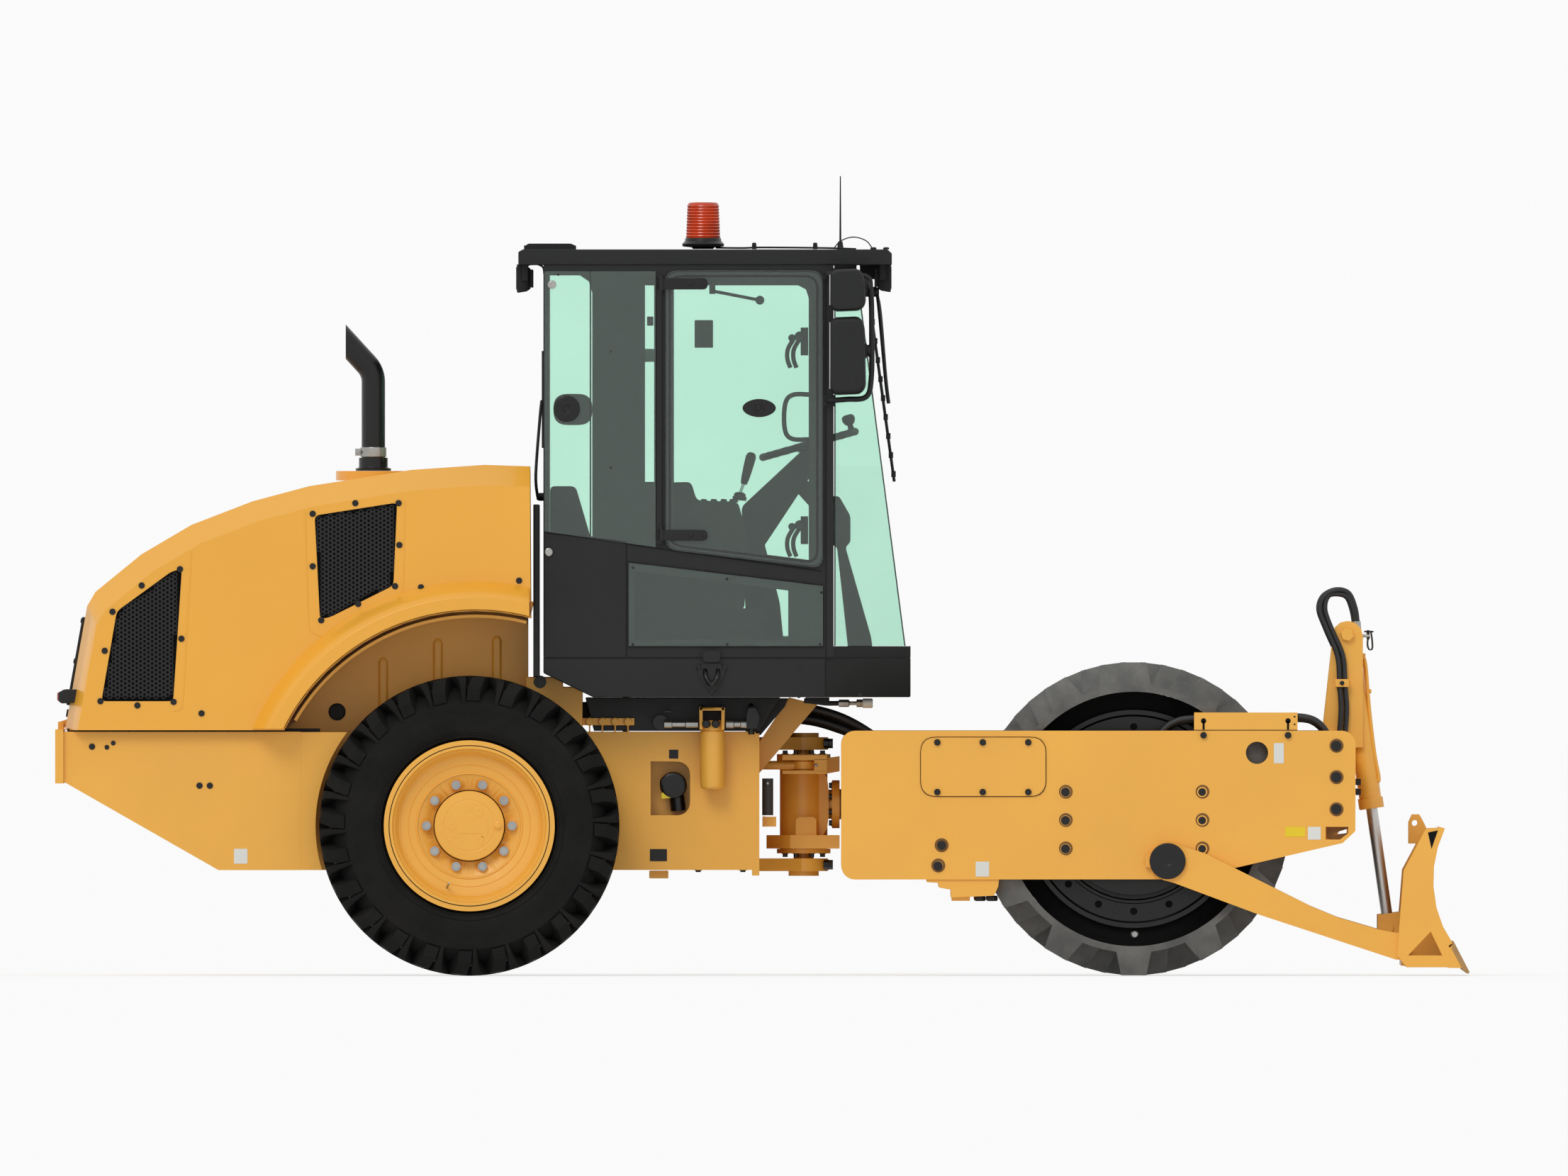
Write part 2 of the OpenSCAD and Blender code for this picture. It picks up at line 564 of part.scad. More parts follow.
module hub(s) color("DarkSlateGray") translate([wheel_x, s * (tyre_out - tyre_w / 2),
    wheel_z]) rotate([s * -90, 0, 0]) {
    cylinder(r = 102, h = 110);
    difference() {
        translate([0, 0, -148]) cylinder(r = 120, h = 178);
        translate([0, 0, -150]) cylinder(r = 60.05, h = 84);
    }
    for (i = [0:9]) rotate([0, 0, i * 36]) translate([169, 0, 60]) cylinder(r = 20, h = 34, $fn = 6);
    for (i = [0:2]) rotate([0, 0, 90 + i * 120]) translate([69, 0, 108]) cylinder(r = 14, h = 14);
}

// Hitch
module hitch_yoke() color("Gold") {
    difference() {
        union() {
            rod_z(pivot_x, 0, 94, 482, 874);
            side([[pivot_x, 822], [236, 812], [256, 780], [262, 730], [262, 630], [256, 582], [236,
                548], [pivot_x, 540]],
                -72, 72);
            rod_x(0, osc_z, 58, 240, 276);
            rod_x(0, osc_z, 95, 275, 305);
            // upper arms and the lower plate reach out to the sides in front of the drum frame
            both() side([[pivot_x, 862], [250, 858], [305, 866], [305, 806], [272, 800], [250, 796],
                [pivot_x, 796]], 30, 150);
            plan([[16, -45], [16, 45], [110, 130], [305, 150], [305, -150], [110, -130]], 501, 554);
            rod_z(pivot_x, 0, 106, 846, 874);
            rod_z(pivot_x, 0, 106, 482, 500);
            both() for (z = [[795, 812], [848, 865]])
                plan([[pivot_x - 60, 40], [pivot_x - 38, steer_y], [pivot_x + 38, steer_y],
                    [pivot_x + 60, 40]],
                    z[0], z[1]);
            both() for (z = [[795, 812], [848, 865]]) rod_z(pivot_x, steer_y, 42, z[0], z[1]);
        }
        rod_z(pivot_x, 0, pin_r + fit, 470, 890);
    }
    both() rod_z(pivot_x, steer_y, 17, 806, 817);
    both() rod_z(pivot_x, steer_y, 17, 843, 872);
}
module hitch_bearing() color("Silver") {
    rod_x(0, osc_z, 60, 305, 420);
}

module steer_barrel(s) color([0.1, 0.1, 0.1]) translate([0, s * steer_y, steer_z]) {
    difference() {
        union() {
            rod_x(0, 0, 36, -540, -95);
            rod_x(0, 0, 42, -125, -90);
            rod_z(-565, 0, 36, -38, 38);
        }
        rod_x(0, 0, 19, -528, -130);
        rod_x(0, 0, 17.5 + fit, -140, -80);
        rod_z(-565, 0, 16 + fit, -50, 50);
    }
}
module steer_rod(s) color("Silver") translate([0, s * steer_y, steer_z]) {
    rod_x(0, 0, 17.5, -410, pivot_x - 30);
    difference() {
        rod_z(pivot_x, 0, 38, -12, 12);
        rod_z(pivot_x, 0, 22, -20, 20);
    }
}

// Drum frame
yoke_side = concat(arc([365, 913], 54, 180, 90), arc([2286, 913], 54, 90, 0), [[2339, 571], [2289, 524]],
    [[1670, 381]], arc([365, 434], 54, 270, 180));
module drum_side_plates() color("Gold") {
    difference() {
        both() side(yoke_side, yoke_in, yoke_in + plate);
        both() rod_y(1951, 880, 44, yoke_in - 5, yoke_in + plate + 5);
        both() side([[2222, 588], [2311, 588], [2311, 563], [2278, 538], [2222, 538]], yoke_in - 5,
            yoke_in + plate + 5);
    }
    both() rod_y(arm_x, arm_z, 40, yoke_in + 5, yoke_in + plate + 35);
}
module drum_rear_beam() color("Gold") {
    in = yoke_in - 0.3;
    difference() {
        union() {
            box([311, 345], [-in, in], [484, 868]);
            rod_x(0, osc_z, 110, 340, 440);
        }
        rod_x(0, osc_z, 60 + fit, 300, 430);
    }
    box([640, 670], [-in, in], [484, 868]);
    box([311, 670], [-in, in], [838, 868]);
    box([311, 670], [-in, in], [484, 514]);
}
module drum_front_beam() color("Gold")
    box([2190, 2320], [-yoke_in + 0.3, yoke_in - 0.3], [640, 900]);
module drum_mounts() color([0.1, 0.1, 0.1]) both() translate([drum_x, 0, drum_z]) {
    difference() {
        union() {
            rod_y(0, 0, 110, 716, 790);
            rod_y(0, 0, 300, 772, 800);
        }
        rod_y(0, 0, 60.05, 700, 786);
    }
    for (x = [-270, 270]) for (z = [-112, 0, 112]) rod_y(x, z, 44, 796, yoke_in - 0.3);
}
module access_cover() color("Gold") {
    for (s = [-1, 1]) mirror([0, s > 0 ? 0 : 1, 0]) {
        side(concat(arc([1056, 882], 62, 90, 0), arc([1056, 769], 62, 0, -90), arc([685, 769], 62, -90,
            -180),
            arc([685, 882], 62, 180, 90)), yoke_in + plate, yoke_in + plate + 3);
        for (p = [[692, 921], [869, 921], [1047, 921], [692, 725], [869, 725], [1047, 725]])
            rod_y(p[0], p[1], 11, yoke_in + plate + 2, yoke_in + plate + 7);
        for (p = [[707, 515], [694, 435]]) rod_y(p[0], p[1], 18, yoke_in + plate - 2, yoke_in + plate + 5);
        for (x = [1502.5, 1695]) for (z = [1117, 1157, 1197])
            rod_y((x - 1075.5) * 2.8, (1376 - z) * 2.8, 20, yoke_in + plate - 2, yoke_in + plate + 5);
    }
}
module scrapers() color([0.1, 0.1, 0.1]) {
    pitch = (drum_w - 150) / 8;
    // x, z of the bar, the side it stands on
    for (b = [[783, 322, -1], [2150, 590, 1]]) {
        box([b[0] - 36, b[0] + 36], [-yoke_in + 0.3, yoke_in - 0.3], [b[1] - 26, b[1] + 26]);
        both() box([b[0] - 30, b[0] + 30], [yoke_in - 16, yoke_in - 0.3], [b[1] - 20, b[1] + 110]);
        a = atan2(b[1] - drum_z, b[0] - drum_x);
        r = norm([b[0] - drum_x, b[1] - drum_z]);
        for (k = [0:7]) translate([drum_x, (k - 3.5) * pitch, drum_z]) rotate([0, -a, 0])
            box([shell_r + 12, r], [-9, 9], [-22, 22]);
    }
}
module hose_guard() color("Gold")
    side([[1703, 963], [1703, 1039], [2111, 1039], [2111, 963]], -yoke_in - plate, -yoke_in + 6);

module blade_towers() color("Gold") both() for (y = [lift_y - 62, lift_y + 42])
    side(concat([[2213, 900.3], [2213, 969], [2251, 1319]], arc([2311, 1341], 59, 175, 0), [[2370,
        1053], [2370, 900.3]]), y, y + 20);
module tower_pins() color("Silver") both() rod_y(lift_top[0], lift_top[1], 22, lift_y - 72, lift_y + 72);

// Drum
pad_phase = [0, 7.5, 15, 22.5, 30, 22.5, 15, 7.5, 0];
module drum_shell() color([0.35, 0.35, 0.34]) translate([drum_x, 0, drum_z]) rotate([90, 0, 0]) {
    difference() {
        cylinder(r = shell_r, h = drum_w, center = true, $fn = 96);
        cylinder(r = shell_r - 26, h = drum_w + 2, center = true, $fn = 96);
    }
    pitch = (drum_w - 150) / 8;
    for (k = [0:8]) intersection() {
        linear_extrude(drum_w, center = true) polygon([for (i = [0:pad_n - 1]) each
            [for (c = [[-7.6, shell_r - 20], [-7.6, shell_r - 2], [-4.6, drum_r], [4.6, drum_r], [7.6,
                shell_r - 2], [7.6, shell_r - 20]])
                let (a = 90 + pad_phase[k] + i * 30 + c[0]) [c[1] * cos(a), c[1] * sin(a)]]]);
        translate([0, 0, (k - 4) * pitch]) rotate_extrude($fn = 96) polygon([[shell_r - 14, -76],
            [shell_r, -76],
            [drum_r, -48], [drum_r, 48], [shell_r, 76], [shell_r - 14, 76]]);
    }
}
module drum_heads() color([0.08, 0.08, 0.08]) translate([drum_x, 0, drum_z]) rotate([90, 0,
    0]) for (s = [-1, 1])
    translate([0, 0, s * 690]) {
        cylinder(r = shell_r - 26.3, h = 20, center = true, $fn = 96);
        translate([0, 0, s * 45]) cylinder(r = 60, h = 90, center = true);
        for (i = [0:15]) rotate([0, 0, i * 22.5]) translate([364, 0, s * 10]) cylinder(r = 14, h = 16,
            center = true);
    }

// Blade
module push_arms() color("Gold") both() {
    y0 = yoke_in + plate + 6;
    difference() {
        side([[1581, 524], [1623, 524], [1749, 482], [2037, 339], [2166, 274], [2272, 230], [2435,
            182], [2547, 162],
        [2547, 64], [2499, 64], [1961, 241], [1623, 367], [1581, 378], [1536, 412], [1527, 470]], y0,
            y0 + plate);
        rod_y(arm_x, arm_z, 40 + fit, y0 - 1, y0 + plate + 1);
    }
    rod_y(arm_x, arm_z, 68, y0 + plate, y0 + plate + 12);
}
blade_front = [[2692, 582], [2664, 507], [2649, 431], [2647, 353], [2659, 269], [2684, 196], [2723, 129]];
rib = [[2670, 582], [2617, 580], [2530, 417], [2503, 81], [2541, 34], [2712, 34], [2715, 106], [2703, 123],
    [2661, 188], [2636, 263], [2626, 353], [2628, 431], [2642, 510]];
module blade() color("Gold") {
    side(concat(blade_front, [[2703, 118], [2661, 188], [2636, 263], [2625, 353], [2626, 431], [2642, 510],
        [2670, 588]]), -blade_hw, blade_hw);
    difference() {
        for (y = [-blade_hw, blade_hw - 17.7]) side(rib, y, y + 17.7);
        both() side([[2636, 175], [2547, 81], [2681, 81]], blade_hw - 30, blade_hw + 5);
    }
    for (y = [-600, -lift_y - 60, -lift_y + 42, -150, 132, lift_y - 60, lift_y + 42, 582]) side(rib, y,
        y + 18);
    box([2520, 2545], [-870, 870], [40, 130]);
    both() rod_y(lift_eye[0], lift_eye[1], 17, lift_y - 66, lift_y + 66);
    both() for (y = [lift_y - 60, lift_y + 42]) side([[2429, 241], [2547, 255], [2547, 129], [2449,
        143], [2429, 165]], y, y + 18);
    both() difference() {
        side([[2552, 521], [2552, 605], [2566, 636], [2594, 636], [2611, 605], [2650, 521]], 290, 315);
        rod_y(2576, 602, 12, 280, 330);
    }
}
module cutting_edge() color([0.3, 0.3, 0.3])
    side([[2726.4, 137], [2790, 14], [2782, 8], [2762, 22], [2716, 109]], -blade_hw, blade_hw);

module lift_barrels() color([0.1, 0.1, 0.1]) both()
    translate([lift_top[0], lift_y, lift_top[1]]) rotate([0, 180 - lift_tilt, 0]) difference() {
        union() {
            translate([0, 0, 30]) cylinder(r = 42, h = 660);
            translate([0, 0, 650]) cylinder(r = 48, h = 42);
            rod_y(0, 0, 42, -36, 36);
        }
        translate([0, 0, 60]) cylinder(r = 22, h = 600);
        translate([0, 0, 650]) cylinder(r = 20.5 + fit, h = 60);
        rod_y(0, 0, 22 + fit, -50, 50);
    }
module lift_rods() color("Silver") both()
    translate([lift_top[0], lift_y, lift_top[1]]) rotate([0, 180 - lift_tilt, 0]) difference() {
        union() {
            translate([0, 0, 385]) cylinder(r = 20.5, h = lift_len - 420);
            translate([0, 0, lift_len]) rod_y(0, 0, 38, -34, 34);
        }
        translate([0, 0, lift_len]) rod_y(0, 0, 26, -50, 50);
    }

module filter() color("White") {
    box([-240, -140], [-rear_hw - 130, -rear_hw + 9.7], [968, 1050]);
    rod_z(-197, -rear_hw - 65, 48.5, 732, 968);
}
module pressure_ports() color("Silver") {
    box([-388, -253], [-rear_hw - 40, -rear_hw + 9.7], [977, 1008]);
    box([-147, -52], [-rear_hw - 40, -rear_hw + 9.7], [977, 1008]);
    box([-704, -505], [-rear_hw - 20, -rear_hw + 9.7], [968, 1015]);
    for (i = [0:3]) rod_y(-676 + i * 55, 985, 18, -rear_hw - 30, -rear_hw - 5);
}
module hoses() color([0.07, 0.07, 0.07])
    for (y = [-70, 0, 70]) tube([[215, y, 1056], [330, y, 1042], [430, y, 1005], [490, y, 945], [490,
        y, 868.3]], 16);
module lift_hoses() color([0.07, 0.07, 0.07]) both() for (d = [0, 34]) translate([d, 0, 0])
    tube([[2256, 563, 900.3], [2256, 563, 1150], [2200, 563, 1440], [2236, 545, 1510], [2300, 518,
        1525 - d],
        [2352 - d / 2, 505, 1420]], 12);

union() { rear_frame(); pivot_pins(); }
tail_frame();
rear_axle();
engine();
radiator();
side_box();
pedestal();
platform();
cab_frame();
roof();
front_glass();
rear_glass();
union() { quarter_glass(); lower_window(); }  // side_glass
seat();
union() { console(); lever(); }
steering_wheel();
mirrors();
work_lights();
union() { beacon(); antenna(); }
wipers();
union() { steps(); handrails(); }
union() { filter(); pressure_ports(); }
fender_liners();
union() { hood(); hood_hinges(); }
hood_grilles();
exhaust_stack();
tail_lamps();
door_frame();
door_glass();
side_window();
window_fittings();
tyre(1);  // tyre_left
tyre(-1);  // tyre_right
union() { rim(1); hub(1); }  // rim_left
union() { rim(-1); hub(-1); }  // rim_right
union() { hitch_yoke(); hitch_bearing(); }
steer_barrel(1);  // steer_barrel_left
steer_barrel(-1);  // steer_barrel_right
steer_rod(1);  // steer_rod_left
steer_rod(-1);  // steer_rod_right
union() { drum_side_plates(); access_cover(); hose_guard(); }
drum_rear_beam();
drum_front_beam();
union() { blade_towers(); tower_pins(); }
drum_mounts();
scrapers();
union() { hoses(); lift_hoses(); }
drum_shell();
drum_heads();
push_arms();
blade();
cutting_edge();
lift_barrels();
lift_rods();
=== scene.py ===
import json
import math

import bmesh
import bpy
from mathutils import Matrix, Vector


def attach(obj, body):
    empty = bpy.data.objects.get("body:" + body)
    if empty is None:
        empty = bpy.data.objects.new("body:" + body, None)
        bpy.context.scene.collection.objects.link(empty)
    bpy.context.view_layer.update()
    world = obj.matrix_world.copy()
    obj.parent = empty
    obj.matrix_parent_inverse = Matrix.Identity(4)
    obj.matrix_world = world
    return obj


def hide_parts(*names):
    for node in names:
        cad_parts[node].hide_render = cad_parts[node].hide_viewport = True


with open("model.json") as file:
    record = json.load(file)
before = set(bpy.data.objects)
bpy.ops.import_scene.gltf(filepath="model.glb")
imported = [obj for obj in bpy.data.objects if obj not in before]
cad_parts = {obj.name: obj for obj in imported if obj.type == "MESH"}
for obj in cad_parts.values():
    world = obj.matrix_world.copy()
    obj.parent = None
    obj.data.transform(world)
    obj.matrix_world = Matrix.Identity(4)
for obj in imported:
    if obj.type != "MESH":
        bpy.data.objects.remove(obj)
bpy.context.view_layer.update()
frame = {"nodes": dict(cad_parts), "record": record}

nodes = frame["nodes"]
RIGHT, LEFT = -1, 1

# ---- places, in metres, in the frame of the solids ----
WHEEL = (-1.156, 0.592)
DRUM = (1.465, 0.619)
HOOD_SIDE = 0.790
CAB_SIDE = 0.690
REAR_SIDE = 0.440
TAIL_SIDE = 0.740
YOKE_SIDE = 0.880
BLADE_SIDE = 0.934


def at(x, y):
    """Turns a place in the photograph's pixels into X and Z in metres."""
    return ((x - 1075.5) * 0.0028, (1376 - y) * 0.0028)


# ---- the camera, the floor and the light ----
def seen_directly(tree):
    """One for what the camera sees, also in gloss and through glass, and zero for light that bounces."""
    path = tree.nodes.new("ShaderNodeLightPath")
    first = tree.nodes.new("ShaderNodeMath")
    first.operation = "MAXIMUM"
    second = tree.nodes.new("ShaderNodeMath")
    second.operation = "MAXIMUM"
    tree.links.new(path.outputs["Is Camera Ray"], first.inputs[0])
    tree.links.new(path.outputs["Is Glossy Ray"], first.inputs[1])
    tree.links.new(first.outputs[0], second.inputs[0])
    tree.links.new(path.outputs["Is Transmission Ray"], second.inputs[1])
    return second.outputs[0]


def set_stage():
    camera = bpy.data.objects.new("camera", bpy.data.cameras.new("camera"))
    bpy.context.collection.objects.link(camera)
    camera.location = (0.0854, -600.0, 1.530)
    camera.rotation_euler = (math.radians(90), 0, 0)
    camera.data.lens = 3487.5
    camera.data.sensor_width = 36
    camera.data.clip_start = 1.0
    camera.data.clip_end = 3000
    bpy.context.scene.camera = camera

    floor = bpy.data.meshes.new("floor")
    far = 900
    floor.from_pydata([(-far, -far, 0), (far, -far, 0), (far, far, 0), (-far, far, 0)], [], [(0, 1, 2, 3)])
    floor_object = bpy.data.objects.new("floor", floor)
    bpy.context.collection.objects.link(floor_object)
    matte = bpy.data.materials.new("floor_matte")
    matte.use_nodes = True
    tree = matte.node_tree
    tree.nodes.clear()
    join = tree.links.new
    matt = tree.nodes.new("ShaderNodeBsdfDiffuse")
    shade = tree.nodes.new("ShaderNodeMix")
    shade.data_type = "RGBA"
    shade.inputs[6].default_value = (0.92, 0.92, 0.92, 1)
    shade.inputs[7].default_value = (0.35, 0.35, 0.35, 1)
    join(shade.outputs[2], matt.inputs["Color"])
    glow = tree.nodes.new("ShaderNodeEmission")
    glow.inputs["Color"].default_value = (1, 1, 1, 1)
    seen = seen_directly(tree)
    lift = tree.nodes.new("ShaderNodeMath")
    lift.operation = "MULTIPLY"
    lift.inputs[1].default_value = 0.67
    join(seen, lift.inputs[0])
    join(seen, shade.inputs[0])
    join(lift.outputs[0], glow.inputs["Strength"])
    both = tree.nodes.new("ShaderNodeAddShader")
    join(matt.outputs[0], both.inputs[0])
    join(glow.outputs[0], both.inputs[1])
    join(both.outputs[0], tree.nodes.new("ShaderNodeOutputMaterial").inputs["Surface"])
    floor.materials.append(matte)

    world = bpy.data.worlds.new("studio")
    bpy.context.scene.world = world
    world.use_nodes = True
    tree = world.node_tree
    tree.nodes.clear()
    light = tree.nodes.new("ShaderNodeBackground")
    light.inputs["Strength"].default_value = 0.80
    seen = tree.nodes.new("ShaderNodeBackground")
    seen.inputs["Color"].default_value = (0.96, 0.96, 0.96, 1)
    mix = tree.nodes.new("ShaderNodeMixShader")
    out = tree.nodes.new("ShaderNodeOutputWorld")
    join = tree.links.new
    join(seen_directly(tree), mix.inputs[0])
    join(light.outputs[0], mix.inputs[1])
    join(seen.outputs[0], mix.inputs[2])
    join(mix.outputs[0], out.inputs["Surface"])

    lamp = bpy.data.lights.new("key", "SUN")
    lamp.energy = 0.85
    lamp.angle = math.radians(25)
    key = bpy.data.objects.new("key", lamp)
    bpy.context.collection.objects.link(key)
    key.rotation_euler = (math.radians(48), 0, math.radians(-22))
    bpy.context.scene.view_settings.view_transform = "Standard"


set_stage()


# ---- finishes ----
def linear(r, g, b):
    """Turns a colour of 0 to 255, as the eye reads it, into the shader's own scale."""
    def one(c):
        c = c / 255
        return c / 12.92 if c <= 0.04045 else ((c + 0.055) / 1.055) ** 2.4
    return (one(r), one(g), one(b), 1)


def finish(name, rgb, rough=0.45, metal=0.0, coat=0.0, specular=0.5, shift=0.12, shift_scale=3.0, grain=0.0,
           grain_scale=400.0, dust=None, dust_amount=0.0, dust_scale=4.0, rough_shift=0.12):
    """A finish with a slow change of tone, fine grain in its relief, and dust or wear in patches."""
    material = bpy.data.materials.new(name)
    material.use_nodes = True
    tree = material.node_tree
    base = tree.nodes["Principled BSDF"]
    base.inputs["Metallic"].default_value = metal
    base.inputs["Coat Weight"].default_value = coat
    base.inputs["Coat Roughness"].default_value = 0.12
    base.inputs["Specular IOR Level"].default_value = specular
    place = tree.nodes.new("ShaderNodeTexCoord")
    join = tree.links.new

    slow = tree.nodes.new("ShaderNodeTexNoise")
    slow.inputs["Scale"].default_value = shift_scale
    slow.inputs["Detail"].default_value = 5
    join(place.outputs["Object"], slow.inputs["Vector"])
    tone = tree.nodes.new("ShaderNodeValToRGB")
    full = linear(*rgb)
    tone.color_ramp.elements[0].position = 0.3
    tone.color_ramp.elements[1].position = 0.7
    tone.color_ramp.elements[0].color = tuple(c * (1 - shift) for c in full[:3]) + (1,)
    tone.color_ramp.elements[1].color = tuple(min(1, c * (1 + shift * 0.5)) for c in full[:3]) + (1,)
    join(slow.outputs["Fac"], tone.inputs["Fac"])
    colour = tone.outputs["Color"]

    if dust is not None:
        patch = tree.nodes.new("ShaderNodeTexNoise")
        patch.inputs["Scale"].default_value = dust_scale
        patch.inputs["Detail"].default_value = 9
        patch.inputs["Roughness"].default_value = 0.65
        join(place.outputs["Object"], patch.inputs["Vector"])
        where = tree.nodes.new("ShaderNodeMapRange")
        where.inputs["From Min"].default_value = 0.42
        where.inputs["From Max"].default_value = 0.72
        where.inputs["To Max"].default_value = dust_amount
        join(patch.outputs["Fac"], where.inputs["Value"])
        blend = tree.nodes.new("ShaderNodeMix")
        blend.data_type = "RGBA"
        join(where.outputs["Result"], blend.inputs["Factor"])
        join(colour, blend.inputs["A"])
        blend.inputs["B"].default_value = linear(*dust)
        colour = blend.outputs["Result"]
    join(colour, base.inputs["Base Color"])

    fine = tree.nodes.new("ShaderNodeTexNoise")
    fine.inputs["Scale"].default_value = 30
    fine.inputs["Detail"].default_value = 6
    join(place.outputs["Object"], fine.inputs["Vector"])
    gloss = tree.nodes.new("ShaderNodeMapRange")
    gloss.inputs["To Min"].default_value = max(0.02, rough - rough_shift / 2)
    gloss.inputs["To Max"].default_value = min(1.0, rough + rough_shift / 2)
    join(fine.outputs["Fac"], gloss.inputs["Value"])
    join(gloss.outputs["Result"], base.inputs["Roughness"])
    if grain:
        relief = tree.nodes.new("ShaderNodeTexNoise")
        relief.inputs["Scale"].default_value = grain_scale
        relief.inputs["Detail"].default_value = 2
        join(place.outputs["Object"], relief.inputs["Vector"])
        bump = tree.nodes.new("ShaderNodeBump")
        bump.inputs["Strength"].default_value = grain
        bump.inputs["Distance"].default_value = 0.001
        join(relief.outputs["Fac"], bump.inputs["Height"])
        join(bump.outputs["Normal"], base.inputs["Normal"])
    return material


def clear(name, rgb, rough=0.02, ior=1.2, shift=0.06, haze=0.0):
    """Tinted glass or a clear lens."""
    material = finish(name, rgb, rough=rough, shift=shift, shift_scale=1.2, rough_shift=0.02)
    base = material.node_tree.nodes["Principled BSDF"]
    base.inputs["Transmission Weight"].default_value = 1.0
    base.inputs["IOR"].default_value = ior
    if haze:
        tree = material.node_tree
        dull = tree.nodes.new("ShaderNodeBsdfDiffuse")
        dull.inputs["Color"].default_value = (0.74, 0.78, 0.77, 1)
        mix = tree.nodes.new("ShaderNodeMixShader")
        mix.inputs[0].default_value = haze
        out = next(node for node in tree.nodes if node.type == "OUTPUT_MATERIAL")
        tree.links.new(base.outputs[0], mix.inputs[1])
        tree.links.new(dull.outputs[0], mix.inputs[2])
        tree.links.new(mix.outputs[0], out.inputs["Surface"])
    return material


BODY = finish("body_yellow", (246, 181, 70), rough=0.42, coat=0.15, shift=0.05, shift_scale=1.5, grain=0.06,
              dust=(226, 166, 84), dust_amount=0.15, dust_scale=2)
HOOD = finish("hood_yellow", (245, 176, 53), rough=0.32, coat=0.3, shift=0.05, shift_scale=1.0, grain=0.04)
SATIN = finish("satin_black", (24, 25, 25), rough=0.5, coat=0.05, specular=0.3, grain=0.12, dust=(34, 34, 33), dust_amount=0.3)
GLOSS = finish("gloss_black", (8, 8, 8), rough=0.32, coat=0.1, specular=0.35, grain=0.05)
MOULDED = finish("moulded_black", (24, 25, 25), rough=0.6, specular=0.35, grain=0.2, grain_scale=900)
RUBBER = finish("tyre_rubber", (16, 16, 15), rough=0.78, specular=0.2, grain=0.25, grain_scale=260,
                dust=(42, 41, 37), dust_amount=0.3, dust_scale=6)
SEAL = finish("seal_rubber", (22, 22, 22), rough=0.7, specular=0.3, grain=0.1)
HOSE = finish("hose_rubber", (25, 25, 26), rough=0.5, grain=0.3, grain_scale=700)
PAD = finish("cast_pads", (92, 92, 90), rough=0.55, metal=0.35, shift=0.3, shift_scale=7, grain=0.5, grain_scale=120,
             dust=(126, 124, 118), dust_amount=0.5, dust_scale=9)
CHROME = finish("chrome", (196, 196, 194), rough=0.38, metal=1.0, shift=0.04, rough_shift=0.06)
ZINC = finish("zinc_plate", (170, 170, 166), rough=0.35, metal=0.9, shift=0.15, shift_scale=20)
EDGE = finish("edge_steel", (196, 150, 88), rough=0.5, metal=0.1, shift=0.15, dust=(110, 96, 74), dust_amount=0.5, dust_scale=8)
IRON = finish("cast_iron", (70, 74, 78), rough=0.6, metal=0.3, grain=0.5, grain_scale=200)
# Near-black painted shade: the drum heads, radiator and hood grilles are dark parts set near black for the shade they
# sit in, the blade's end openings are painted shade alone, and thin seam lines use it as well.
SHADE_AND_SEAM_BLACK = finish("shade_and_seam_black", (9, 9, 9), rough=0.85, specular=0.2)
# Near-black painted shade: thin sheets behind the hood's pierced screens stand in for the dark inside seen through the
# holes.
SCREEN_SHADE_BLACK = finish("shade_behind_screens", (5, 5, 5), rough=0.9, specular=0.1)
FABRIC = finish("seat_fabric", (44, 44, 47), rough=0.95, specular=0.2, grain=0.8, grain_scale=1100)
PLATE = finish("blank_plate", (226, 228, 222), rough=0.4, shift=0.04)
GLASS = clear("mint_glass", (224, 254, 240), ior=1.4, haze=0.038)
LENS = clear("lamp_lens", (235, 238, 240), ior=1.3)
AMBER = finish("beacon_lens", (212, 62, 10), rough=0.25, coat=0.3, shift=0.3, shift_scale=14)
RED = finish("red_lens", (150, 20, 18), rough=0.15, coat=0.5)


# ---- building one by one ----
def frame_of(axis):
    """Two directions square to an axis."""
    axis = Vector(axis).normalized()
    side = axis.orthogonal().normalized()
    return side, axis.cross(side)


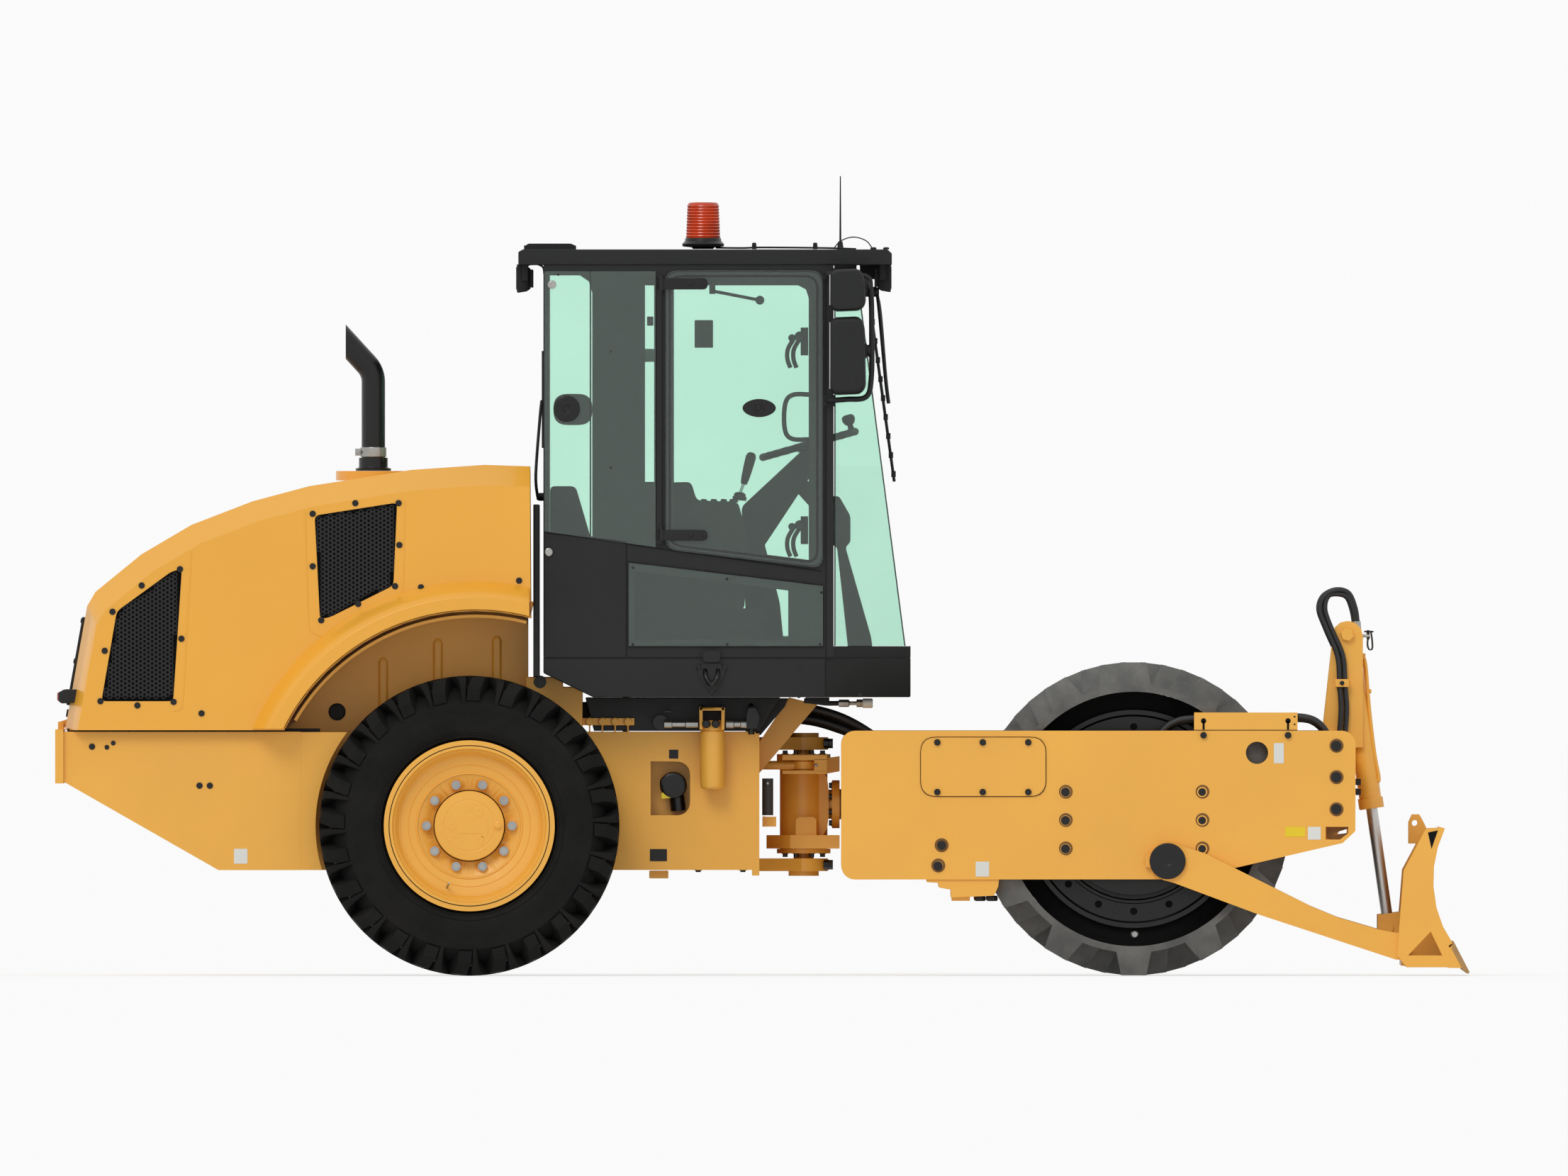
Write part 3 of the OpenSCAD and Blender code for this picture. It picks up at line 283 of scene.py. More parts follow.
class Piece:
    """One piece in the making: every shape lands in one mesh, in metres, at its place on the machine."""

    def __init__(self, name, body, material):
        self.name, self.body, self.materials = name, body, [material]
        self.mesh = bmesh.new()
        self.slot = 0

    def use(self, material):
        if material not in self.materials:
            self.materials.append(material)
        self.slot = self.materials.index(material)
        return self

    def _face(self, corners):
        try:
            face = self.mesh.faces.new(corners)
            face.material_index = self.slot
        except ValueError:
            pass

    def rings(self, rings, close=True, cap=True):
        """Joins rows of points into a skin."""
        rows = [[self.mesh.verts.new(p) for p in ring] for ring in rings]
        n = len(rows[0])
        for a, b in zip(rows, rows[1:]):
            for i in range(n if close else n - 1):
                j = (i + 1) % n
                self._face((a[i], a[j], b[j], b[i]))
        if cap:
            self._face(list(reversed(rows[0])))
            self._face(rows[-1])
        return self

    def prism(self, outline, y0, y1):
        """An outline in X and Z, from one Y to another."""
        return self.rings([[(x, y, z) for x, z in outline] for y in (y0, y1)])

    def slab(self, outline, z0, z1):
        return self.rings([[(x, y, z) for x, y in outline] for z in (z0, z1)])

    def box(self, x, y, z):
        return self.prism([(x[0], z[0]), (x[1], z[0]), (x[1], z[1]), (x[0], z[1])], y[0], y[1])

    def both(self, shape):
        """Makes a shape on the right side and on the left."""
        for side in (RIGHT, LEFT):
            shape(side)
        return self

    def lathe(self, start, axis, profile, n=32, cap=True):
        """Turns pairs of (distance along the axis, radius)."""
        axis = Vector(axis).normalized()
        u, v = frame_of(axis)
        start = Vector(start)
        rows = []
        for along, radius in profile:
            rows.append([start + axis * along + (u * math.cos(a) + v * math.sin(a)) * max(radius, 1e-4)
                         for a in (2 * math.pi * i / n for i in range(n))])
        return self.rings(rows, cap=cap)

    def rod(self, a, b, r, r2=None, n=20):
        a, b = Vector(a), Vector(b)
        length = (b - a).length
        r2 = r if r2 is None else r2
        return self.lathe(a, b - a, [(0, r), (length, r2)], n)

    def tube(self, points, r, n=12, smooth=True):
        """A round bar or hose along a path."""
        points = [Vector(p) for p in points]
        if smooth:
            points = curve_through(points)
        rows, side = [], None
        for i, p in enumerate(points):
            ahead = points[min(i + 1, len(points) - 1)] - points[max(i - 1, 0)]
            ahead.normalize()
            side = ahead.orthogonal() if side is None else side - ahead * side.dot(ahead)
            side.normalize()
            up = ahead.cross(side)
            rows.append([p + (side * math.cos(a) + up * math.sin(a)) * r
                         for a in (2 * math.pi * k / n for k in range(n))])
        return self.rings(rows)

    def dome(self, centre, axis, r, height, n=24, steps=5):
        return self.lathe(centre, axis, [(height * math.sin(t), r * math.cos(t))
                                         for t in (math.pi / 2 * k / steps for k in range(steps + 1))], n)

    def done(self, bevel=0.0, segments=2, smooth=35, replaces=()):
        bmesh.ops.remove_doubles(self.mesh, verts=self.mesh.verts, dist=1e-6)
        bmesh.ops.recalc_face_normals(self.mesh, faces=self.mesh.faces)
        data = bpy.data.meshes.new(self.name)
        self.mesh.to_mesh(data)
        self.mesh.free()
        for material in self.materials:
            data.materials.append(material)
        piece = bpy.data.objects.new(self.name, data)
        bpy.context.collection.objects.link(piece)
        if bevel:
            round_edges(piece, bevel, segments)
        return settle(piece, self.body, smooth, replaces)


def curve_through(points, steps=6):
    """A smooth line through points."""
    out = []
    for i in range(len(points) - 1):
        p0, p1, p2 = points[max(i - 1, 0)], points[i], points[i + 1]
        p3 = points[min(i + 2, len(points) - 1)]
        for k in range(steps):
            t = k / steps
            out.append(0.5 * ((2 * p1) + (p2 - p0) * t + (2 * p0 - 5 * p1 + 4 * p2 - p3) * t * t
                              + (3 * p1 - p0 - 3 * p2 + p3) * t ** 3))
    out.append(points[-1])
    return out


def bake_modifiers(piece):
    """Turns a piece with modifiers into a plain mesh."""
    graph = bpy.context.evaluated_depsgraph_get()
    made = bpy.data.meshes.new_from_object(piece.evaluated_get(graph), preserve_all_data_layers=True, depsgraph=graph)
    piece.modifiers.clear()
    piece.data = made
    return piece


def round_edges(piece, width, segments=2, angle=30):
    bevel = piece.modifiers.new("edges", "BEVEL")
    bevel.width = width
    bevel.segments = segments
    bevel.limit_method = "ANGLE"
    bevel.angle_limit = math.radians(angle)
    bevel.use_clamp_overlap = True
    return bake_modifiers(piece)


def settle(piece, body, smooth=35, replaces=()):
    """Shades a finished piece, and gives it to its body."""
    piece.data.polygons.foreach_set("use_smooth", [True] * len(piece.data.polygons))
    piece.data.set_sharp_from_angle(angle=math.radians(smooth))
    even = piece.modifiers.new("even", "WEIGHTED_NORMAL")
    even.keep_sharp = True
    bake_modifiers(piece)
    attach(piece, body)
    if replaces:
        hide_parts(*replaces)
    return piece


def body_of(node):
    for body, members in frame["record"]["behaviour"]["bodies"].items():
        if node in members:
            return body


def dress(node, material, bevel=0.003, segments=2, smooth=35, name=None, trim=0):
    """A copy of a solid with rounded edges and its finish."""
    mesh = bmesh.new()
    mesh.from_mesh(nodes[node].data)
    bmesh.ops.remove_doubles(mesh, verts=mesh.verts, dist=2e-5)
    if trim:
        for s in (RIGHT, LEFT):
            bmesh.ops.bisect_plane(mesh, geom=mesh.verts[:] + mesh.edges[:] + mesh.faces[:], plane_co=(0, s * trim, 0),
                                   plane_no=(0, s, 0), clear_outer=True)
    bmesh.ops.dissolve_limit(mesh, angle_limit=math.radians(0.6), verts=mesh.verts, edges=mesh.edges)
    data = bpy.data.meshes.new(name or node + "_finished")
    mesh.to_mesh(data)
    mesh.free()
    data.materials.append(material)
    for face in data.polygons:
        face.material_index = 0
    piece = bpy.data.objects.new(name or node + "_finished", data)
    bpy.context.collection.objects.link(piece)
    if bevel:
        round_edges(piece, bevel, segments)
    return settle(piece, body_of(node), smooth, (node,))


# ---- every solid gets its finish ----
# drum_heads: a dark part set near black as painted shade.
for node, material, edge in [
        ("rear_frame", BODY, 0.003), ("tail_frame", BODY, 0.004), ("side_box", BODY, 0.004),
        ("pedestal", SATIN, 0.004), ("platform", SATIN, 0.005), ("cab_frame", SATIN, 0.004), ("roof", MOULDED, 0.006),
        ("hood", HOOD, 0.012), ("door_frame", SATIN, 0.003), ("hitch_yoke", BODY, 0.004),
        ("drum_side_plates", BODY, 0.003), ("drum_rear_beam", BODY, 0.004), ("drum_front_beam", BODY, 0.004),
        ("blade_towers", BODY, 0.003), ("scrapers", BODY, 0.002), ("push_arms", BODY, 0.004), ("blade", BODY, 0.003),
        ("lift_barrels", BODY, 0.002), ("cutting_edge", EDGE, 0.002), ("drum_heads", SHADE_AND_SEAM_BLACK, 0.003),
        ("drum_mounts", GLOSS, 0.003), ("rim_left", BODY, 0.003), ("rim_right", BODY, 0.003), ("tyre_left", RUBBER, 0.004),
        ("tyre_right", RUBBER, 0.004), ("drum_shell", PAD, 0.004)]:
    dress(node, material, edge, trim=HOOD_SIDE + 0.0015 if node == "hood" else 0)

# radiator and hood_grilles: dark parts set near black as painted shade.
for node, material in [
        ("rear_axle", IRON), ("engine", IRON), ("radiator", SHADE_AND_SEAM_BLACK), ("front_glass", GLASS), ("rear_glass", GLASS),
        ("side_glass", GLASS), ("side_window", GLASS), ("door_glass", GLASS), ("seat", FABRIC), ("console", MOULDED),
        ("steering_wheel", MOULDED), ("mirrors", MOULDED), ("work_lights", MOULDED), ("beacon", AMBER), ("wipers", MOULDED),
        ("steps", SATIN), ("filter", BODY), ("hood_grilles", SHADE_AND_SEAM_BLACK), ("exhaust_stack", GLOSS), ("tail_lamps", MOULDED),
        ("window_fittings", MOULDED), ("steer_barrel_left", SATIN), ("steer_barrel_right", SATIN),
        ("steer_rod_left", CHROME), ("steer_rod_right", CHROME), ("hoses", HOSE), ("lift_rods", CHROME)]:
    solid = nodes[node]
    solid.data.materials.clear()
    solid.data.materials.append(material)


# ---- what repeats ----
def new_tree(name, inputs):
    """An empty tree of geometry nodes with its named inputs."""
    tree = bpy.data.node_groups.new(name, "GeometryNodeTree")
    tree.interface.new_socket("Geometry", in_out="INPUT", socket_type="NodeSocketGeometry")
    sockets = {}
    for label, kind, value in inputs:
        socket = tree.interface.new_socket(label, in_out="INPUT", socket_type=kind)
        if value is not None:
            socket.default_value = value
        sockets[label] = socket.identifier
    tree.interface.new_socket("Geometry", in_out="OUTPUT", socket_type="NodeSocketGeometry")
    return tree, sockets, tree.nodes.new("NodeGroupInput"), tree.nodes.new("NodeGroupOutput")


def grown(name, tree, identifiers, base, values, body, smooth=35, replaces=()):
    """Runs a tree on a base mesh, and keeps the result as a plain mesh on its body."""
    piece = bpy.data.objects.new(name, base)
    bpy.context.collection.objects.link(piece)
    modifier = piece.modifiers.new("grow", "NODES")
    modifier.node_group = tree
    for label, value in values.items():
        modifier[identifiers[label]] = value
    bake_modifiers(piece)
    return settle(piece, body, smooth, replaces)


def screw_tree():
    """Hex heads on washers, one on each point, turned to the point's normal and sized by its own number."""
    tree, ids, start, end = new_tree("screws", [("Head", "NodeSocketFloat", 0.010), ("Height", "NodeSocketFloat", 0.008),
        ("Washer", "NodeSocketFloat", 0.014), ("Sides", "NodeSocketInt", 6), ("Finish", "NodeSocketMaterial", None)])
    add, join = tree.nodes.new, tree.links.new
    head, washer = add("GeometryNodeMeshCylinder"), add("GeometryNodeMeshCylinder")
    washer.inputs["Vertices"].default_value = 20
    washer.inputs["Depth"].default_value = 0.004
    join(start.outputs["Sides"], head.inputs["Vertices"])
    join(start.outputs["Head"], head.inputs["Radius"])
    join(start.outputs["Washer"], washer.inputs["Radius"])
    twice = add("ShaderNodeMath")
    twice.operation = "MULTIPLY"
    twice.inputs[1].default_value = 2.0
    join(start.outputs["Height"], twice.inputs[0])
    join(twice.outputs[0], head.inputs["Depth"])
    both = add("GeometryNodeJoinGeometry")
    join(head.outputs["Mesh"], both.inputs[0])
    join(washer.outputs["Mesh"], both.inputs[0])
    facing = add("GeometryNodeInputNamedAttribute")
    facing.data_type = "FLOAT_VECTOR"
    facing.inputs["Name"].default_value = "facing"
    turn = add("FunctionNodeAlignRotationToVector")
    turn.axis = "Z"
    join(facing.outputs[0], turn.inputs["Vector"])
    size = add("GeometryNodeInputNamedAttribute")
    size.data_type = "FLOAT"
    size.inputs["Name"].default_value = "size"
    stand = add("GeometryNodeInstanceOnPoints")
    join(start.outputs[0], stand.inputs["Points"])
    join(both.outputs[0], stand.inputs["Instance"])
    join(turn.outputs[0], stand.inputs["Rotation"])
    join(size.outputs[0], stand.inputs["Scale"])
    real = add("GeometryNodeRealizeInstances")
    join(stand.outputs[0], real.inputs[0])
    finish_node = add("GeometryNodeSetMaterial")
    join(start.outputs["Finish"], finish_node.inputs["Material"])
    join(real.outputs[0], finish_node.inputs[0])
    join(finish_node.outputs[0], end.inputs[0])
    return tree, ids


SCREWS = screw_tree()


def points_mesh(name, spots):
    """Points with the way they face and their own size."""
    mesh = bpy.data.meshes.new(name)
    mesh.from_pydata([s[0] for s in spots], [], [])
    mesh.attributes.new("facing", "FLOAT_VECTOR", "POINT")
    mesh.attributes.new("size", "FLOAT", "POINT")
    mesh.attributes["facing"].data.foreach_set("vector", [n for s in spots for n in s[1]])
    mesh.attributes["size"].data.foreach_set("value", [s[2] if len(s) > 2 else 1.0 for s in spots])
    return mesh


def screws(name, body, spots, material=GLOSS, head=0.011, height=0.007, washer=0.016, sides=6):
    """Screw heads, from rows of (place, way it faces, size)."""
    return grown(name, SCREWS[0], SCREWS[1], points_mesh(name, spots),
                 {"Head": head, "Height": height, "Washer": washer, "Sides": sides, "Finish": material}, body)


def ring_spots(centre, y, radius, count, facing, start=0.0):
    return [((centre[0] + radius * math.cos(a), y, centre[1] + radius * math.sin(a)), facing)
            for a in (math.radians(start) + 2 * math.pi * i / count for i in range(count))]


def side_spots(pixels, y, size=1.0, sides=(RIGHT, LEFT)):
    """Spots at places in the photograph, on the sides that face outwards."""
    return [((at(*p)[0], s * y, at(*p)[1]), (0, s, 0), size) for p in pixels for s in sides]


def perforation_tree():
    """Hexagonal rings that join into a pierced sheet, one on each point."""
    tree, ids, start, end = new_tree("pierced_sheet", [("Pitch", "NodeSocketFloat", 0.014), ("Hole", "NodeSocketFloat", 0.7),
        ("Thickness", "NodeSocketFloat", 0.002), ("Finish", "NodeSocketMaterial", None)])
    add, join = tree.nodes.new, tree.links.new
    cell = add("GeometryNodeMeshCircle")
    cell.fill_type = "NGON"
    cell.inputs["Vertices"].default_value = 6
    reach = add("ShaderNodeMath")
    reach.operation = "MULTIPLY"
    reach.inputs[1].default_value = 1 / math.sqrt(3)
    join(start.outputs["Pitch"], reach.inputs[0])
    join(reach.outputs[0], cell.inputs["Radius"])
    inner = add("GeometryNodeExtrudeMesh")
    inner.mode = "FACES"
    inner.inputs["Offset Scale"].default_value = 0.0
    join(cell.outputs["Mesh"], inner.inputs["Mesh"])
    shrink = add("GeometryNodeScaleElements")
    join(inner.outputs["Mesh"], shrink.inputs["Geometry"])
    join(inner.outputs["Top"], shrink.inputs["Selection"])
    join(start.outputs["Hole"], shrink.inputs["Scale"])
    cut = add("GeometryNodeDeleteGeometry")
    cut.domain = "FACE"
    join(shrink.outputs[0], cut.inputs[0])
    join(inner.outputs["Top"], cut.inputs["Selection"])
    facing = add("GeometryNodeInputNamedAttribute")
    facing.data_type = "FLOAT_VECTOR"
    facing.inputs["Name"].default_value = "facing"
    turn = add("FunctionNodeAlignRotationToVector")
    turn.axis = "Z"
    join(facing.outputs[0], turn.inputs["Vector"])
    stand = add("GeometryNodeInstanceOnPoints")
    join(start.outputs[0], stand.inputs["Points"])
    join(cut.outputs[0], stand.inputs["Instance"])
    join(turn.outputs[0], stand.inputs["Rotation"])
    real = add("GeometryNodeRealizeInstances")
    join(stand.outputs[0], real.inputs[0])
    weld = add("GeometryNodeMergeByDistance")
    weld.inputs["Distance"].default_value = 0.0004
    join(real.outputs[0], weld.inputs[0])
    finish_node = add("GeometryNodeSetMaterial")
    join(start.outputs["Finish"], finish_node.inputs["Material"])
    join(weld.outputs[0], finish_node.inputs[0])
    join(finish_node.outputs[0], end.inputs[0])
    return tree, ids


PIERCED = perforation_tree()


def inside(point, outline, margin):
    """Whether a point lies within a convex outline, at least a margin from its edges."""
    n = len(outline)
    area = sum(outline[i][0] * outline[(i + 1) % n][1] - outline[(i + 1) % n][0] * outline[i][1] for i in range(n))
    for i in range(n):
        (ax, ay), (bx, by) = outline[i], outline[(i + 1) % n]
        length = math.hypot(bx - ax, by - ay)
        if length < 1e-7:
            continue
        off = ((bx - ax) * (point[1] - ay) - (by - ay) * (point[0] - ax)) / length
        if off * (1 if area > 0 else -1) < margin:
            return False
    return True


def pierced_sheet(name, body, outline, place, facing, pitch=0.013, hole=0.68, material=GLOSS, upright=False, edge=0.15):
    """A pierced sheet that fills a convex outline. place turns its two numbers into a point."""
    step = [pitch * math.sqrt(3) / 2, pitch]
    if upright:
        step.reverse()
    low = [min(p[i] for p in outline) for i in (0, 1)]
    high = [max(p[i] for p in outline) for i in (0, 1)]
    spots = []
    for i in range(int((high[0] - low[0]) / step[0]) + 2):
        for j in range(int((high[1] - low[1]) / step[1]) + 2):
            u = low[0] + step[0] * (i + (0.5 * (j % 2) if upright else 0))
            v = low[1] + step[1] * (j + (0 if upright else 0.5 * (i % 2)))
            if inside((u, v), outline, pitch * edge):
                spots.append((place(u, v), facing))
    return grown(name, PIERCED[0], PIERCED[1], points_mesh(name, spots),
                 {"Pitch": pitch, "Hole": hole, "Finish": material}, body)


# ---- hood ----
hood_screws = [(255, 803), (201, 826), (160, 863), (149, 918), (143, 989), (195, 995), (246, 990), (257, 901),
               (502, 710), (563, 710), (564, 769), (558, 827), (506, 852), (454, 875), (442, 799), (442, 725),
               (594.6, 828.6), (732.8, 819.2), (285.4, 1006.2)]
screws("hood_screws", "hood", side_spots(hood_screws, HOOD_SIDE + 0.001), head=0.0085, height=0.006, washer=0.0125, sides=12)


def bead(piece, pixels, y, r=0.004, sides=(RIGHT, LEFT)):
    """A pressed bead along a line of the photograph's places."""
    for s in sides:
        piece.tube([(at(*p)[0], s * y, at(*p)[1]) for p in pixels], r, n=8)


beads = Piece("hood_beads", "hood", HOOD)
bead(beads, [(572, 708), (571, 760), (569, 830), (562, 845), (500, 884), (462, 897), (442, 892), (436, 876), (433, 800), (431, 722)],
     HOOD_SIDE - 0.0015)
bead(beads, [(271, 778), (265, 880), (259, 985), (255, 1000), (246, 1003)], HOOD_SIDE - 0.0015)
beads.done()

stack = Piece("stack_clamp", "hood", ZINC)
sx = at(527, 0)[0]
stack.lathe((sx, -0.3, at(0, 645)[1]), (0, 0, 1), [(0, 0.0465), (0, 0.050), (0.004, 0.0515), (0.035, 0.0515), (0.039, 0.050), (0.039, 0.0465)], 48)
stack.box((sx - 0.072, sx - 0.046), (-0.309, -0.291), (at(0, 643)[1], at(0, 633)[1]))
stack.rod((sx - 0.062, -0.325, at(0, 638)[1]), (sx - 0.062, -0.275, at(0, 638)[1]), 0.006, n=12)
stack.done(bevel=0.001)

# ---- tail ----
screws("tail_screws", "rear", side_spots([(131, 1053), (282.5, 1108), (297, 1108)], TAIL_SIDE + 0.001)
       + side_spots([(152, 1054), (161, 1048)], TAIL_SIDE + 0.001, 0.75), head=0.009, height=0.005, washer=0.0125, sides=12)

# ---- drum frame ----
screws("drum_frame_screws", "front", side_spots(
    [(1322, 1047), (1386, 1047), (1450, 1047), (1322, 1117), (1386, 1117), (1450, 1117), (1697, 1037), (1816, 1037)],
    YOKE_SIDE + 0.009, 1.0), head=0.009, height=0.005, washer=0.013, sides=12)
screws("isolator_screws", "front", side_spots([(1502.5, 1117), (1502.5, 1157), (1502.5, 1197), (1328, 1192),
    (1323, 1221)], YOKE_SIDE + 0.005), head=0.0155, height=0.008, washer=0.018, sides=20)
screws("front_beam_screws", "front", side_spots([(1884, 1052), (1884, 1096), (1884, 1141)], YOKE_SIDE + 0.002),
       head=0.017, height=0.009, washer=0.020, sides=20)



# ---- hood's small parts ----
tail_lamps = Piece("tail_lamp_bodies", "hood", MOULDED)
for s in (RIGHT, LEFT):
    y0 = s * 0.62
    x0, z0 = at(84, 991)
    tail_lamps.use(MOULDED).prism([(x0, z0 + 0.004), (x0 + 0.012, z0 - 0.004), (x0 + 0.072, z0), (x0 + 0.072, z0 + 0.052),
                                   (x0 + 0.02, z0 + 0.052), (x0, z0 + 0.04)], y0 - 0.10, y0 + 0.10)
    tail_lamps.use(RED).prism([(x0 - 0.006, z0 + 0.008), (x0 + 0.004, z0 + 0.004), (x0 + 0.004, z0 + 0.044), (x0 - 0.006, z0 + 0.038)],
                              y0 - 0.085, y0 + 0.085)
tail_lamps.done(bevel=0.004, replaces=("tail_lamps",))


def rear_wall(z):
    """The hood's rear wall at a height."""
    (x0, z0), (x1, z1) = at(93, 1030), at(124, 855)
    return x0 + (x1 - x0) * (z - z0) / (z1 - z0)


lean = math.atan2(at(124, 855)[0] - at(93, 1030)[0], at(124, 855)[1] - at(93, 1030)[1])
outward = (-math.cos(lean), 0, math.sin(lean))
REAR_PANEL = [(-0.50, 1.08), (0.50, 1.08), (0.50, 1.40), (-0.50, 1.40)]
pierced_sheet("hood_rear_screen", "hood", REAR_PANEL, lambda u, v: (rear_wall(v) + outward[0] * 0.007, u, v + outward[2] * 0.007),
              outward, pitch=0.015, upright=True)
panel = Piece("hood_rear_frame", "hood", GLOSS)


def on_rear(y, z, out=0.0):
    return (rear_wall(z) + outward[0] * out, y, z + outward[2] * out)


panel.rings([[on_rear(y, z, o) for y, z in REAR_PANEL] for o in (0.0005, 0.004)])
for (y0, z0), (y1, z1) in ((REAR_PANEL[0], REAR_PANEL[1]), (REAR_PANEL[1], REAR_PANEL[2]),
                           (REAR_PANEL[2], REAR_PANEL[3]), (REAR_PANEL[3], REAR_PANEL[0])):
    flat = z0 == z1
    d = (0, 0.014) if flat else (0.014, 0)
    panel.rings([[on_rear(y0 - d[0], z0 - d[1], o), on_rear(y1 - d[0], z1 - d[1], o), on_rear(y1 + d[0], z1 + d[1], o),
                  on_rear(y0 + d[0], z0 + d[1], o)] for o in (0.0005, 0.012)])
panel.rings([[on_rear(y, z, o) for y, z in ((-0.06, 1.02), (0.06, 1.02), (0.06, 1.05), (-0.06, 1.05))] for o in (0.0005, 0.010)])
panel.done(bevel=0.002)
screws("hood_rear_screws", "hood", [(on_rear(y, z, 0.012), outward) for y in (-0.5, -0.17, 0.17, 0.5) for z in (1.08, 1.40)]
       + [(on_rear(y, 1.24, 0.012), outward) for y in (-0.5, 0.5)], head=0.008, height=0.004, washer=0.011, sides=12)

# ---- the cab's glass, seals and seams ----
def outline_tube(piece, outline, y, r):
    path = [(x, y, z) for x, z in outline]
    piece.tube(path + [path[0], path[1]], r, n=8, smooth=False)
    return piece


def rounded(outline, radius, steps=5):
    """Rounds the corners of an outline of X and Z."""
    out, n = [], len(outline)
    for i in range(n):
        a, b, c = Vector(outline[i - 1]), Vector(outline[i]), Vector(outline[(i + 1) % n])
        r = min(radius, (a - b).length / 2, (c - b).length / 2)
        p, q = b + (a - b).normalized() * r, b + (c - b).normalized() * r
        for k in range(steps + 1):
            t = k / steps
            out.append(tuple(p * (1 - t) ** 2 + b * 2 * t * (1 - t) + q * t * t))
    return out


window = rounded([at(938.5, 382), at(1161, 382), at(1161, 802), at(938.5, 775)], 0.05)
pane = Piece("side_window_pane", "side_window", GLASS)
pane.prism(window, -0.704, -0.697)
pane.done(smooth=20, replaces=("side_window",))
seal = Piece("side_window_seal", "side_window", SEAL)
outline_tube(seal, rounded([at(945, 390), at(1153, 390), at(1153, 794), at(945, 769)], 0.05), -0.6945, 0.0055)
outline_tube(seal, rounded([at(939.5, 383.5), at(1160, 383.5), at(1160, 800.5), at(939.5, 773.5)], 0.05), -0.6975, 0.003)
seal.done()
fittings = Piece("side_window_fittings", "side_window", GLOSS)
for low, high in ((393, 409), (747.5, 763)):
    x0, z0 = at(934, high)
    x1, z1 = at(998.5, low)
    fittings.prism(rounded([(x0, z0), (x1, z0), (x1, z1), (x0, z1)], 0.02), -0.7145, -0.7043)
    for bolt in (975, 994):
        c = at(bolt, (low + high) / 2)
        fittings.lathe((c[0], -0.7140, c[1]), (0, -1, 0), [(0, 0.0085), (0.003, 0.0085), (0.005, 0.006)], 16)
    fittings.rod((-0.398, -0.708, z0 - 0.002), (-0.398, -0.708, z1 + 0.002), 0.0125)
latch = at(1071, 576)
oval = [(latch[0] + 0.066 * math.cos(a) * (1 - 0.08 * math.sin(a) ** 2), latch[1] + 0.036 * math.sin(a))
        for a in (2 * math.pi * i / 40 for i in range(40))]
fittings.prism(oval, -0.712, -0.7043)
fittings.lathe((latch[0], -0.7115, latch[1]), (0, -1, 0), [(0, 0.021), (0.004, 0.021), (0.004, 0.015), (0.001, 0.014), (0.001, 0.009), (0.003, 0.008)], 28)
fittings.done(bevel=0.0015, replaces=("window_fittings",))


seams = Piece("cab_seals", "rear", SEAL)
for side in (RIGHT, LEFT):
    y = side * 0.6915
    rear_low = [at(768, 751), at(885, 765)] if side == RIGHT else [at(768, 751), at(872, 763)]
    seams.tube([(x, y, z) for x, z in rear_low], 0.003, n=6, smooth=False)
    for a, b in ((at(833, 383), at(833, 760)), (at(884, 926), at(884, 766)), (at(767, 928), at(1284, 928)),
                 (at(1165, 383), at(1165, 983)), (at(886, 768), at(1160, 806)), (at(768, 383), at(768, 926))):
        if side == LEFT and a[0] > at(872, 0)[0]:
            continue
        seams.tube([(a[0], y, a[1]), (b[0], y, b[1])], 0.0022, n=6, smooth=False)
outline_tube(seams, [at(887, 793), at(1161, 826), at(1161, 912), at(887, 912)], -0.6965, 0.0025)
seams.done()
bar_post = Piece("window_post", "rear", GLOSS)
bar_post.box((at(926.5, 0)[0], at(934, 0)[0]), (-0.699, -0.6903), (at(0, 768)[1], at(0, 410)[1]))
bar_post.done(bevel=0.002)
screws("cab_panel_screws", "rear", [((at(*p)[0], -0.6965, at(*p)[1]), (0, -1, 0), s) for p, s in
       [((862, 496), .5), ((862, 660), .5), ((893, 801), .6), ((1026, 817), .6), ((1159, 836), .6), ((893, 909), .6),
        ((1026, 909), .6), ((1157, 909), .6), ((788, 388), .5), ((933, 595), .5)]]
       + [((at(*p)[0], -0.691, at(*p)[1]), (0, -1, 0), s) for p, s in
          [((1127, 941), .8), ((1127, 982), .8), ((975, 966), 0), ((1213, 980), .8)] if s], head=0.008, height=0.004, washer=0.010, sides=12)

plug = Piece("quarter_plug_plate", "rear", SATIN)
c = at(800, 577)
plug.prism(rounded([at(781, 600), at(836, 600), at(836, 556), at(781, 556)], 0.055), -0.6895, -0.684)
plug.use(GLOSS).lathe((c[0], -0.6965, c[1]), (0, -1, 0), [(0, 0.052), (0.006, 0.052), (0.010, 0.046), (0.010, 0.016), (0.006, 0.012)], 36)
for a in (30, 150, 270):
    plug.lathe((c[0] + 0.033 * math.cos(math.radians(a)), -0.706, c[1] + 0.033 * math.sin(math.radians(a))), (0, -1, 0),
               [(0, 0.007), (0.003, 0.006)], 12)
for p, mat in (((779, 402), ZINC), ((774, 779), ZINC)):
    q = at(*p)
    plug.use(mat).lathe((q[0], -0.6965, q[1]), (0, -1, 0), [(0, 0.017), (0.005, 0.017), (0.008, 0.012)], 24)
plug.done(bevel=0.001)

